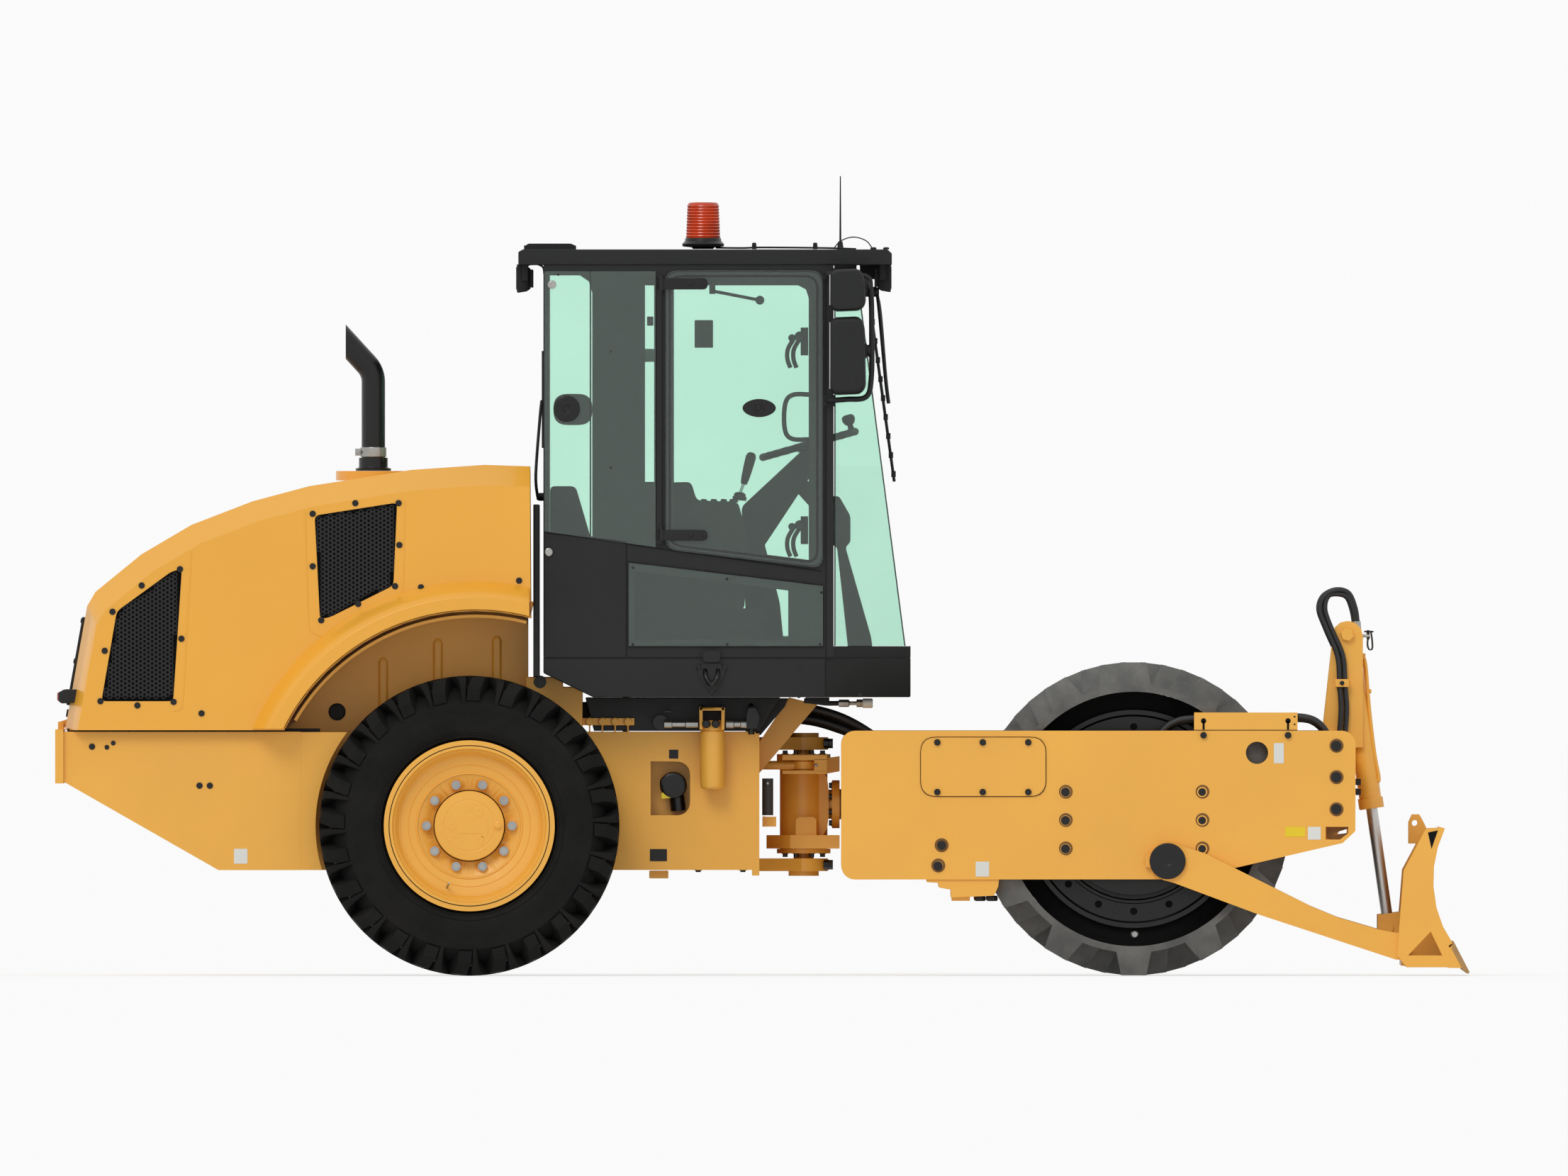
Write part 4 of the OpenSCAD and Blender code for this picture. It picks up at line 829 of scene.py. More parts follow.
# tie bracket on the platform's side
for side, tag in ((RIGHT, "right"), (LEFT, "left")):
    tie = Piece("platform_tie_" + tag, "rear", GLOSS)
    y = side * 0.690
    path = [at(983, 948), at(1004, 980), at(1025, 948), at(1018, 936), at(990, 936)]
    tie.prism(rounded(path, 0.02), y, y + side * 0.008)
    tie.tube([(at(995, 945)[0], y + side * 0.006, at(995, 945)[1]), (at(996, 955)[0], y + side * 0.03, at(996, 955)[1]),
              (at(1004, 966)[0], y + side * 0.036, at(1004, 966)[1]), (at(1012, 955)[0], y + side * 0.03, at(1012, 955)[1]),
              (at(1013, 945)[0], y + side * 0.006, at(1013, 945)[1])], 0.009)
    tie.prism(rounded([at(992, 934), at(1016, 934), at(1017, 918), at(991, 918)], 0.02), y, y + side * 0.03)
    for p in ((986, 941), (1022, 941), (1004, 975)):
        q = at(*p)
        tie.lathe((q[0], y + side * 0.007, q[1]), (0, side, 0), [(0, 0.0095), (0.006, 0.0095), (0.008, 0.007)], 16)
    tie.done(bevel=0.002)

# ---- the roof and what stands on it ----
lamp_x, lamp_y = at(992, 0)[0], -0.420
beacon = Piece("beacon_lamp", "rear", GLOSS)
base = at(0, 351)[1]
beacon.lathe((lamp_x, lamp_y, 2.868), (0, 0, 1), [(0, 0.04), (0.006, 0.045), (0.010, 0.081), (0.020, 0.083), (0.026, 0.078),
             (0.030, 0.073), (0.044, 0.070)], 48)
ridges = [(0.0, 0.066)]
for k in range(11):
    z = 0.004 + k * 0.0118
    taper = 0.0665 - 0.0045 * k / 10
    ridges += [(z, taper), (z + 0.0045, taper + 0.0015), (z + 0.0085, taper), (z + 0.0095, taper - 0.0012)]
ridges += [(0.136, 0.060), (0.141, 0.054), (0.143, 0.03)]
beacon.use(AMBER).lathe((lamp_x, lamp_y, 2.9105), (0, 0, 1), ridges, 64)
beacon.use(MOULDED).rod((at(1185.5, 0)[0], 0.3, 2.866), (at(1185.5, 0)[0], 0.3, 2.900), 0.014, 0.009)
beacon.rod((at(1185.5, 0)[0], 0.3, 2.900), (at(1185.5, 0)[0], 0.3, 3.158), 0.0042, 0.0022, n=10)
beacon.done(smooth=28, replaces=("beacon",))

roof_parts = Piece("roof_fittings", "rear", MOULDED)
roof_parts.tube([(lamp_x + 0.05, lamp_y, 2.873), (lamp_x + 0.16, -0.46, 2.872), (0.0, -0.52, 2.874), (0.24, -0.54, 2.872), (0.37, -0.52, 2.868)],
                0.004, n=8)
roof_parts.tube([(0.28, -0.50, 2.868), (0.31, -0.50, 2.900), (0.36, -0.50, 2.915), (0.41, -0.50, 2.900), (0.435, -0.50, 2.868)], 0.0025, n=8)
for x in (at(1064, 0)[0], at(1150, 0)[0]):
    roof_parts.prism(rounded([(x - 0.010, 2.867), (x + 0.010, 2.867), (x + 0.008, 2.893), (x - 0.008, 2.893)], 0.004), -0.545, -0.505)
for x in (at(1232, 0)[0], at(1250, 0)[0]):
    roof_parts.lathe((x, -0.60, 2.866), (0, 0, 1), [(0, 0.012), (0.006, 0.012), (0.009, 0.008)], 16)
roof_parts.prism(rounded([at(740, 356), at(812, 356), at(812, 347), at(806, 344), at(745, 344), at(740, 349)], 0.008), -0.52, 0.52)
roof_parts.done(bevel=0.001)


def work_lamp(piece, x, z, facing, y):
    """A square lamp in its ribbed case on a bracket, looking along X."""
    d = facing
    piece.use(MOULDED)
    piece.rings([[(x + d * u, y + s * w, z + s2 * h) for s, s2 in ((-1, -1), (1, -1), (1, 1), (-1, 1))]
                 for u, w, h in ((0.0, 0.045, 0.040), (0.015, 0.055, 0.050), (0.045, 0.060, 0.055), (0.052, 0.060, 0.055))])
    for k in range(5):
        piece.box((min(x, x - d * 0.012), max(x, x - d * 0.012)), (y - 0.040 + k * 0.018, y - 0.034 + k * 0.018), (z - 0.035, z + 0.035))
    piece.box((x + d * 0.02 - 0.012, x + d * 0.02 + 0.012), (y - 0.066, y - 0.060), (z - 0.01, z + 0.085))
    piece.box((x + d * 0.02 - 0.012, x + d * 0.02 + 0.012), (y + 0.060, y + 0.066), (z - 0.01, z + 0.085))
    piece.box((x + d * 0.02 - 0.012, x + d * 0.02 + 0.012), (y - 0.066, y + 0.066), (z + 0.082, z + 0.088))
    piece.use(LENS).rings([[(x + d * u, y + s * w, z + s2 * h) for s, s2 in ((-1, -1), (1, -1), (1, 1), (-1, 1))]
                           for u, w, h in ((0.050, 0.050, 0.046), (0.055, 0.048, 0.044))])


lamps = Piece("work_lamps", "rear", MOULDED)
for y in (-0.54, 0.54):
    work_lamp(lamps, at(748, 0)[0], at(0, 393)[1], -1, y)
    work_lamp(lamps, at(1238, 0)[0], at(0, 392)[1], 1, y)
    lamps.use(MOULDED).tube([(at(735, 0)[0], y, at(0, 380)[1]), (at(750, 0)[0], y, at(0, 372)[1]), (at(765, 0)[0], y * 0.93, at(0, 376)[1]),
                             (at(768, 0)[0], y * 0.9, at(0, 388)[1])], 0.004, n=8)
lamps.done(bevel=0.0015, replaces=("work_lights",))

# ---- mirrors ----
for side, tag in ((RIGHT, "right"), (LEFT, "left")):
    mirror = Piece("mirror_pair_" + tag, "rear", MOULDED)
    for low, high in ((2.622, 2.790), (2.292, 2.602)):
        shape = rounded([(0.286, low), (0.388, low + 0.004), (0.409, low + 0.030), (0.404, high - 0.036), (0.384, high), (0.286, high - 0.004),
                         (0.268, high - 0.02), (0.266, low + 0.02)], 0.022, 4)
        mx, mz = 0.338, (low + high) / 2
        mirror.rings([[(mx + (x - mx) * k, side * y, mz + (z - mz) * k) for x, z in shape]
                      for y, k in ((0.741, 0.86), (0.745, 0.93), (0.757, 0.985), (0.775, 1.0), (0.830, 1.0), (0.848, 0.985), (0.859, 0.93), (0.863, 0.86))])
        mirror.use(CHROME).box((0.2645, 0.2680), sorted((side * 0.757, side * 0.848)), (low + 0.024, high - 0.024))
        mirror.use(MOULDED).lathe((0.404, side * 0.806, mz + 0.02), (1, 0, 0), [(0, 0.030), (0.006, 0.030), (0.010, 0.022), (0.018, 0.024), (0.024, 0.014)], 20)
    arm = [(0.262, side * 0.6903, 2.770), (0.262, side * 0.760, 2.770), (0.405, side * 0.806, 2.760), (0.428, side * 0.806, 2.70),
           (0.432, side * 0.806, 2.52), (0.430, side * 0.806, 2.36), (0.410, side * 0.806, 2.285), (0.330, side * 0.790, 2.275), (0.262, side * 0.745, 2.270), (0.262, side * 0.6903, 2.270)]
    mirror.tube(arm, 0.0105, n=12)
    for z in (2.77, 2.27):
        mirror.box((0.236, 0.288), sorted((side * 0.6903, side * 0.700)), (z - 0.022, z + 0.022))
    mirror.done(smooth=40, replaces=("mirrors",) if side == RIGHT else ())

# ---- wipers ----
wiper = Piece("front_wiper", "rear", MOULDED)
wiper.lathe((0.397, 0, 2.70), (1, 0, 0), [(0, 0.020), (0.05, 0.020), (0.064, 0.014)], 24)
wiper.tube([(0.452, 0.0, 2.70), (0.462, -0.05, 2.62), (0.486, -0.13, 2.36), (0.498, -0.16, 2.26)], 0.007, n=8)
wiper.tube([(0.452, 0.02, 2.70), (0.468, -0.03, 2.62), (0.490, -0.11, 2.36), (0.502, -0.14, 2.26)], 0.004, n=8)
for k in range(9):
    z = 2.58 - k * 0.075
    x = 0.3998 + (2.745 - z) * 0.1372
    wiper.box((x + 0.004, x + 0.022), (-0.186, -0.176), (z - 0.012, z + 0.012))
wiper.tube([(0.3998 + (2.745 - z) * 0.1372 + 0.012, -0.180, z) for z in (2.62, 2.4, 2.2, 2.0, 1.95)], 0.006, n=8)
rear = at(761, 701)
wiper.lathe((-0.8523, 0, rear[1]), (-1, 0, 0), [(0, 0.016), (0.03, 0.016), (0.040, 0.011)], 20)
wiper.tube([(-0.888, 0, rear[1]), (-0.895, 0.04, rear[1] + 0.09), (-0.880, 0.12, rear[1] + 0.30), (-0.872, 0.16, rear[1] + 0.38)], 0.006, n=8)
wiper.tube([(-0.866, 0.165, z) for z in (at(0, 632)[1], at(0, 590)[1], at(0, 540)[1], at(0, 495)[1])], 0.006, n=8)
wiper.done(replaces=("wipers",))

# ---- inside the cab ----
seat = Piece("seat_base", "rear", MOULDED)
seat.slab(rounded([(-0.47, -0.17), (-0.12, -0.17), (-0.12, 0.17), (-0.47, 0.17)], 0.04), 1.2573, 1.290)
for k in range(6):
    z = 1.290 + k * 0.034
    w = 0.150 if k % 2 else 0.135
    seat.slab(rounded([(-0.30 - w, -w), (-0.30 + w, -w), (-0.30 + w, w), (-0.30 - w, w)], 0.04), z, z + 0.034)
seat.slab(rounded([(-0.52, -0.22), (-0.09, -0.22), (-0.09, 0.22), (-0.52, 0.22)], 0.05), 1.494, 1.516)
for s in (-1, 1):
    seat.prism(rounded([(-0.51, 1.50), (-0.45, 1.50), (-0.44, 1.70), (-0.20, 1.715), (-0.19, 1.745), (-0.50, 1.748)], 0.02), s * 0.252, s * 0.312)
seat.done(bevel=0.004, replaces=("seat",))


def padded_block(name, centre, size, crown, tilt=0.0, grooves=()):
    """A stuffed pad: crowned on its faces, drawn in at its sides, with sewn channels across it."""
    mesh = bmesh.new()
    bmesh.ops.create_cube(mesh, size=1.0)
    bmesh.ops.subdivide_edges(mesh, edges=mesh.edges, cuts=15, use_grid_fill=True)
    turn = Matrix.Rotation(tilt, 3, "Y")
    for v in mesh.verts:
        x, y, z = (c * 2 for c in v.co)
        ex, ey, ez = 1 - x ** 4, 1 - y ** 4, 1 - z ** 4
        px = x * (1 - 0.05 * y * y) * (size[0] / 2) + crown[0] * x * max(ey, 0) * max(ez, 0)
        py = y * (1 - 0.06 * x * x) * (size[1] / 2) + crown[1] * y * max(ex, 0) * max(ez, 0)
        pz = z * (size[2] / 2) + crown[2] * z * max(ex, 0) * max(ey, 0)
        for g in grooves:
            if z > 0.9:
                pz -= 0.006 * math.exp(-((y - g) / 0.05) ** 2)
        v.co = turn @ Vector((px, py, pz)) + Vector(centre)
    data = bpy.data.meshes.new(name)
    mesh.to_mesh(data)
    mesh.free()
    data.materials.append(FABRIC)
    pad = bpy.data.objects.new(name, data)
    bpy.context.collection.objects.link(pad)
    soft = pad.modifiers.new("round", "SUBSURF")
    soft.levels = soft.render_levels = 1
    bake_modifiers(pad)
    settle(pad, "rear", 60)
    return pad


padded_block("seat_cushion", (-0.295, 0, 1.558), (0.43, 0.44, 0.080), (0.004, 0.006, 0.014), grooves=(-0.5, 0.5))
padded_block("seat_back", (-0.585, 0, 1.85), (0.56, 0.43, 0.080), (0.006, 0.006, 0.012), tilt=math.radians(-100), grooves=(-0.5, 0.5))

wheel = Piece("steering_wheel_rim", "rear", MOULDED)
hub_at = Vector((0.183, 0, 2.097))
tip = Matrix.Rotation(math.radians(-15.7), 3, "Y")
ring = [hub_at + tip @ Vector((0.188 * math.cos(a), 0.188 * math.sin(a), 0)) for a in (2 * math.pi * i / 72 for i in range(73))]
rows = []
for i, p in enumerate(ring[:-1]):
    out = (p - hub_at).normalized()
    up = tip @ Vector((0, 0, 1))
    r = 0.0142 + (0.0012 if i % 3 == 0 else 0)
    rows.append([p + (out * math.cos(b) + up * math.sin(b)) * r for b in (2 * math.pi * k / 12 for k in range(12))])
wheel.rings(rows + [rows[0]], cap=False)
for a in (0, 120, 240):
    d = tip @ Vector((math.cos(math.radians(a)), math.sin(math.radians(a)), 0))
    wheel.rod(hub_at + d * 0.03, hub_at + d * 0.185, 0.016, 0.010)
wheel.lathe(hub_at - (tip @ Vector((0, 0, 0.02))), tip @ Vector((0, 0, 1)), [(0, 0.05), (0.028, 0.046), (0.036, 0.030)], 28)
knob = hub_at + tip @ Vector((0.176, 0.03, 0))
up = tip @ Vector((0, 0, 1))
wheel.lathe(knob, up, [(0.0, 0.013), (0.030, 0.011), (0.036, 0.020), (0.050, 0.026), (0.064, 0.025), (0.072, 0.015)], 24)
wheel.rod(hub_at - up * 0.088, hub_at - up * 0.01, 0.024)
wheel.done(smooth=50, replaces=("steering_wheel",))


console = Piece("armrest_console", "rear", MOULDED)
console.prism(rounded([at(893, 682), at(975, 680), at(983, 706), at(1041, 708), at(1056, 760), at(1050, 860), at(893, 860)], 0.02), -0.430, -0.322)
console.prism(rounded([(-0.50, 1.2573), (0.0, 1.2573), (0.0, 1.45), (-0.50, 1.45)], 0.02), -0.425, -0.326)
for k in range(6):
    q = at(960 + k * 14, 708)
    console.prism(rounded([(q[0], q[1] - 0.002), (q[0] + 0.028, q[1] - 0.002), (q[0] + 0.026, q[1] + 0.010), (q[0] + 0.004, q[1] + 0.012)], 0.003),
                  -0.400, -0.372)
console.use(RED).prism([(at(1028, 0)[0], at(0, 708)[1]), (at(1042, 0)[0], at(0, 709)[1]), (at(1040, 0)[0], at(0, 703)[1]), (at(1030, 0)[0], at(0, 704)[1])],
                       -0.350, -0.330)
console.use(MOULDED).prism(rounded([at(1046, 715), at(1133, 634), at(1150, 640), at(1150, 662), at(1122, 704), at(1075, 775), at(1050, 775)], 0.02), -0.070, 0.070)
console.prism(rounded([at(1048, 765), at(1078, 765), at(1100, 850), (0.09, 1.2573), (-0.06, 1.2573)], 0.01), -0.068, 0.068)
console.prism(rounded([at(1160, 700), at(1183, 700), at(1199, 728), at(1199, 765), at(1192, 772), at(1228, 898), (0.438, 1.2573), (0.340, 1.2573),
                       at(1180, 772), at(1160, 760)], 0.012), -0.088, 0.088)
console.prism(rounded([at(1120, 690), at(1122, 662), at(1165, 702), at(1165, 740)], 0.01), -0.058, 0.058)
console.prism(rounded([(-0.838, 1.2573), (-0.838, 1.932), (-0.738, 1.932), (-0.680, 1.735), (-0.620, 1.2573)], 0.02), -0.42, 0.42)
grip = [at(1043, 706), at(1047, 694), at(1056, 664), at(1060, 645)]
console.use(SEAL).lathe((grip[0][0], -0.345, grip[0][1]), (0.1, 0, 1), [(0, 0.030), (0.006, 0.026), (0.012, 0.030), (0.018, 0.022), (0.024, 0.025), (0.032, 0.014)], 20)
console.use(CHROME).rod((grip[0][0], -0.345, grip[0][1] + 0.02), (grip[2][0], -0.345, grip[2][1]), 0.006)
lean_grip = Vector((grip[3][0] - grip[1][0], 0, grip[3][1] - grip[1][1]))
console.use(MOULDED).lathe((grip[1][0] + 0.006, -0.345, grip[1][1] + 0.03), lean_grip, [(0, 0.012), (0.02, 0.016), (0.06, 0.019), (0.11, 0.021), (0.125, 0.016), (0.130, 0.006)], 20)
console.done(bevel=0.003, replaces=("console",))

inner = Piece("cab_inner_fittings", "rear", MOULDED)
y = -0.652
handle = [at(1141, 557), at(1120, 557), at(1109, 566), at(1106, 590), at(1109, 612), at(1120, 620), at(1141, 620)]
inner.tube([(x, y, z) for x, z in handle], 0.0095, n=10)
for px, py in ((1128, 475), (1128, 741)):
    q = at(px, py)
    inner.lathe((q[0], y + 0.01, q[1]), (0, -1, 0), [(0, 0.016), (0.03, 0.020), (0.036, 0.016)], 20)
    inner.box((q[0] + 0.004, q[0] + 0.034), (y - 0.004, y + 0.02), (q[1] - 0.075, q[1] + 0.035))
    for off in (0, 0.024):
        inner.tube([(q[0] - 0.020 + off, y, q[1] - 0.005), (q[0] - 0.046 + off, y, q[1] - 0.05), (q[0] - 0.048 + off, y, q[1] - 0.09), (q[0] - 0.036 + off, y, q[1] - 0.124)],
                   0.009, n=8)
    inner.lathe((q[0] - 0.030, y + 0.01, q[1] - 0.006), (0, -1, 0), [(0, 0.015), (0.02, 0.015)], 16)
stay_a, stay_b = at(1005, 411), at(1072, 424)
inner.tube([(stay_a[0], -0.66, stay_a[1]), (stay_b[0], -0.66, stay_b[1])], 0.0065, n=8, smooth=False)
inner.lathe((stay_b[0], -0.652, stay_b[1]), (0, -1, 0), [(0, 0.016), (0.016, 0.018)], 16)
inner.box((stay_a[0] - 0.012, stay_a[0] + 0.012), (-0.668, -0.652), (stay_a[1] - 0.012, stay_a[1] + 0.03))
sign = [at(980, 491), at(1006, 491), at(1006, 452), at(980, 452)]
inner.prism(rounded(sign, 0.004), -0.660, -0.657)
inner.prism(rounded([at(913, 447), at(922, 447), at(922, 460), at(913, 460)], 0.003), -0.668, -0.655)
inner.done(bevel=0.001)

# ---- doors, steps and rails on the left ----
door = Piece("door_fittings", "cab_door", GLOSS)
for z in (1.5, 2.45):
    door.prism(rounded([(-0.545, z - 0.028), (-0.36, z - 0.024), (-0.35, z), (-0.36, z + 0.024), (-0.545, z + 0.028)], 0.012), 0.7223, 0.7290)
    for x in (-0.42, -0.375):
        door.lathe((x, 0.7285, z), (0, 1, 0), [(0, 0.009), (0.004, 0.009), (0.006, 0.006)], 16)
door.prism(rounded([(0.196, 1.84), (0.250, 1.84), (0.250, 2.04), (0.196, 2.04)], 0.012), 0.7223, 0.732)
door.tube([(0.223, 0.729, 2.02), (0.223, 0.752, 2.00), (0.223, 0.756, 1.94), (0.223, 0.752, 1.88), (0.223, 0.729, 1.86)], 0.009)
door.lathe((0.223, 0.730, 1.82), (0, 1, 0), [(0, 0.012), (0.008, 0.012), (0.010, 0.008)], 16)
door.done(bevel=0.0015)
door_seal = Piece("door_seal", "cab_door", SEAL)
outline_tube(door_seal, rounded([at(904, 899), at(904, 399), at(1146, 399), at(1146, 899)], 0.03), 0.7235, 0.005)
door_seal.done()

ladder = Piece("steps_and_rails", "rear", SATIN)
for x in (-0.540, -0.275):
    ladder.prism([(x - 0.008, 0.430), (x + 0.008, 0.430), (x + 0.008, 0.960), (x - 0.008, 0.960)], 0.4403, 0.770)
for z in (0.440, 0.700):
    ladder.box((-0.545, -0.270), (0.500, 0.506), (z, z + 0.030))
    ladder.box((-0.545, -0.270), (0.762, 0.768), (z, z + 0.030))
    for k in range(8):
        y = 0.515 + k * 0.034
        ladder.rings([[(x, y + dy, z + 0.014 + (0.006 if i % 2 else 0.0)) for dy in (0, 0.016)] +
                      [(x, y + dy, z + 0.008) for dy in (0.016, 0)] for i, x in
                      enumerate([-0.532 + 0.02 * j for j in range(13)])])
ladder.tube([(0.268, 0.6903, 1.45), (0.268, 0.735, 1.452), (0.268, 0.745, 1.49), (0.268, 0.745, 2.11), (0.268, 0.735, 2.148), (0.268, 0.6903, 2.15)], 0.0135)
ladder.tube([(-0.54, 0.762, 0.90), (-0.54, 0.762, 1.14), (-0.54, 0.750, 1.178), (-0.54, 0.6903, 1.18)], 0.0135)
ladder.done(bevel=0.001, replaces=("steps",))


# ---- wheels ----
for side, tag in ((RIGHT, "right"), (LEFT, "left")):
    body = "wheel_" + tag
    out = (0, side, 0)
    tyre_mid = side * 0.711
    face = lambda reach: tyre_mid + side * reach
    ring = Piece("sidewall_rings_" + tag, body, RUBBER)
    for r, reach, t in ((0.472, 0.1805, 0.0030), (0.372, 0.1735, 0.003), (0.352, 0.1615, 0.004)):
        n = 96
        rows = []
        for i in range(n + 1):
            a = 2 * math.pi * i / n
            u = Vector((math.cos(a), 0, math.sin(a)))
            centre_point = Vector((WHEEL[0], face(reach), WHEEL[1])) + u * r
            rows.append([centre_point + u * (t * math.cos(b)) + Vector((0, side * t * math.sin(b), 0)) for b in (2 * math.pi * k / 8 for k in range(8))])
        ring.rings(rows, cap=False)
    ring.done(smooth=60)
    screws("wheel_nuts_" + tag, body, ring_spots(WHEEL, face(0.0945), 0.169, 10, out), material=ZINC, head=0.0135, height=0.015, washer=0.0185)
    cap = Piece("hub_cover_" + tag, body, BODY)
    cap.lathe((WHEEL[0], face(0.105), WHEEL[1]), out, [(0, 0.137), (0.008, 0.138), (0.014, 0.135), (0.016, 0.104), (0.0145, 0.102),
              (0.0145, 0.100), (0.016, 0.098), (0.016, 0.02)], 64)
    for a in (55, 180, 305):
        q = (WHEEL[0] + 0.069 * math.cos(math.radians(a)), face(0.120), WHEEL[1] + 0.069 * math.sin(math.radians(a)))
        cap.lathe(q, out, [(0, 0.020), (0.002, 0.019), (0.002, 0.006), (0.0, 0.004)], 24)
    cap.prism(rounded([(WHEEL[0] - 0.042, WHEEL[1] - 0.030), (WHEEL[0] + 0.075, WHEEL[1] - 0.030), (WHEEL[0] + 0.075, WHEEL[1] + 0.030),
                       (WHEEL[0] - 0.042, WHEEL[1] + 0.030)], 0.008), *sorted((face(0.1205), face(0.1225))))
    cap.lathe((WHEEL[0] + 0.113, face(0.120), WHEEL[1]), out, [(0, 0.017), (0.004, 0.017), (0.006, 0.012), (0.010, 0.009)], 20)
    stem = math.radians(250)
    s0 = Vector((WHEEL[0] + 0.262 * math.cos(stem), face(0.10), WHEEL[1] + 0.262 * math.sin(stem)))
    cap.use(ZINC).rod(s0, s0 + Vector((0.01, side * 0.055, 0.02)), 0.0045, 0.004, n=10)
    cap.done(bevel=0.0008)

# ---- drum ----
for side, tag in ((RIGHT, "right"), (LEFT, "left")):
    out = (0, side, 0)
    screws("drum_head_bolts_" + tag, "drum", ring_spots(DRUM, side * 0.703, 0.364, 16, out, 11.25) + ring_spots(DRUM, side * 0.703, 0.300, 24, out),
           material=GLOSS, head=0.013, height=0.010, washer=0.018)
    rim = Piece("drum_head_rings_" + tag, "drum", GLOSS)
    rim.lathe((DRUM[0], side * 0.700, DRUM[1]), out, [(0, 0.434), (0.022, 0.434), (0.026, 0.430), (0.026, 0.412), (0.004, 0.404), (0.004, 0.336),
              (0.016, 0.332), (0.016, 0.322), (0.003, 0.316), (0.003, 0.250)], 96, cap=False)
    rim.use(ZINC).lathe((DRUM[0] + 0.004, side * 0.700, DRUM[1] - 0.455), out, [(0, 0.016), (0.006, 0.016), (0.010, 0.011), (0.014, 0.011)], 20)
    rim.done(smooth=40)

# ---- liner ribs and plugs ----
liner = Piece("fender_liner_ribs", "rear", BODY)
for side in (RIGHT, LEFT):
    y = side * 0.4405
    for px in (541, 618, 701):
        x = at(px, 0)[0]
        top = 0.596 + math.sqrt(0.800 ** 2 - (x + 1.13) ** 2) - 0.05
        liner.rings([[(x - w, y + side * o, z) , (x + w, y + side * o, z), (x + w * 0.55, y + side * (o + d), z), (x - w * 0.55, y + side * (o + d), z)]
                     for z, w, o, d in ((0.985, 0.010, 0.0, 0.001), (1.005, 0.020, 0.0, 0.011), (top - 0.02, 0.020, 0.0, 0.011), (top, 0.010, 0.0, 0.001))])
    q = at(476, 1004)
    liner.use(MOULDED).lathe((q[0], y, q[1]), (0, side, 0), [(0, 0.034), (0.004, 0.034), (0.007, 0.028), (0.004, 0.022)], 28)
    liner.use(BODY)
liner.done(bevel=0.002)

# ---- blank plates where the machine carries signs ----
plates = Piece("blank_plates_rear", "rear", PLATE)
plates.prism(rounded([at(331, 1218), at(350, 1218), at(350, 1197), at(331, 1197)], 0.002), -TAIL_SIDE - 0.0014, -TAIL_SIDE - 0.0002)
plates.use(SATIN).prism(rounded([at(944, 1070), at(957, 1070), at(957, 1057.5), at(944, 1057.5)], 0.002), -REAR_SIDE - 0.0018, -REAR_SIDE - 0.0002)
plates.prism(rounded([at(917, 1214.6), at(941, 1214.6), at(941, 1197.6), at(917, 1197.6)], 0.002), -REAR_SIDE - 0.0018, -REAR_SIDE - 0.0002)
plates.done()
plates = Piece("blank_plates_front", "front", PLATE)
for x0, y0, x1, y1 in ((1376, 1215, 1395, 1236), (1796, 1048, 1810, 1076.5), (1844, 1166, 1862, 1184)):
    plates.prism(rounded([at(x0, y1), at(x1, y1), at(x1, y0), at(x0, y0)], 0.002), -YOKE_SIDE - 0.0014, -YOKE_SIDE - 0.0002)
plates.use(finish("blank_yellow_plate", (238, 206, 30), rough=0.4, shift=0.04)).prism(
    rounded([at(1812, 1180), at(1840, 1180), at(1840, 1166), at(1812, 1166)], 0.002), -YOKE_SIDE - 0.0014, -YOKE_SIDE - 0.0002)
plates.done()

# ---- frame's side: filler, filter, pipes and lugs ----
filler = Piece("filler_neck", "rear", GLOSS)
c = at(950, 1108)
filler.lathe((c[0], -0.36, c[1]), (0, -1, 0), [(0, 0.050), (0.03, 0.054), (0.045, 0.050), (0.050, 0.035)], 32)
filler.lathe((at(940, 0)[0], -0.385, at(0, 1104)[1]), (0, -1, 0), [(0, 0.024), (0.018, 0.026), (0.024, 0.020)], 24)
filler.rod((c[0] + 0.01, -0.37, c[1] - 0.01), (c[0] + 0.02, -0.37, c[1] - 0.10), 0.030)
filler.use(finish("cap_yellow", (236, 212, 40), rough=0.4, shift=0.05)).prism(
    rounded([at(933, 1127), at(952, 1125), at(952, 1119), at(933, 1118)], 0.006), -0.405, -0.385)
filler.use(HOSE).tube([(at(940, 0)[0], -0.33, at(0, 1070)[1]), (at(960, 0)[0], -0.33, at(0, 1082)[1]), (at(978, 0)[0], -0.33, at(0, 1100)[1])], 0.010)
filler.use(BODY).box((at(912, 0)[0], at(982, 0)[0]), (-0.34, -0.33), (at(0, 1160)[1], at(0, 1066)[1]))
filler.done(bevel=0.002)

canister = Piece("filter_canister", "rear", BODY)
cx = at(1005, 0)[0]
cy = -0.505
canister.lathe((cx, cy, at(0, 1031)[1]), (0, 0, -1), [(0, 0.046), (0.004, 0.0485), (0.20, 0.0485), (0.222, 0.046), (0.230, 0.038), (0.2325, 0.02)], 40)
canister.lathe((cx, cy, at(0, 1016)[1]), (0, 0, -1), [(0, 0.040), (0.02, 0.046), (0.038, 0.047), (0.042, 0.043)], 40)
x0, z0 = at(987, 1029)
x1, z1 = at(1022, 998)
canister.box((x0, x0 + 0.012), (cy - 0.050, -0.4303), (z0, z1))
canister.box((x1 - 0.012, x1), (cy - 0.050, -0.4303), (z0, z1))
canister.box((x0, x1), (cy - 0.050, -0.4303), (z1 - 0.012, z1))
canister.use(GLOSS)
for px in (989, 1019):
    canister.lathe((at(px, 0)[0], cy, z1), (0, 0, 1), [(0, 0.010), (0.008, 0.010), (0.010, 0.006)], 6)
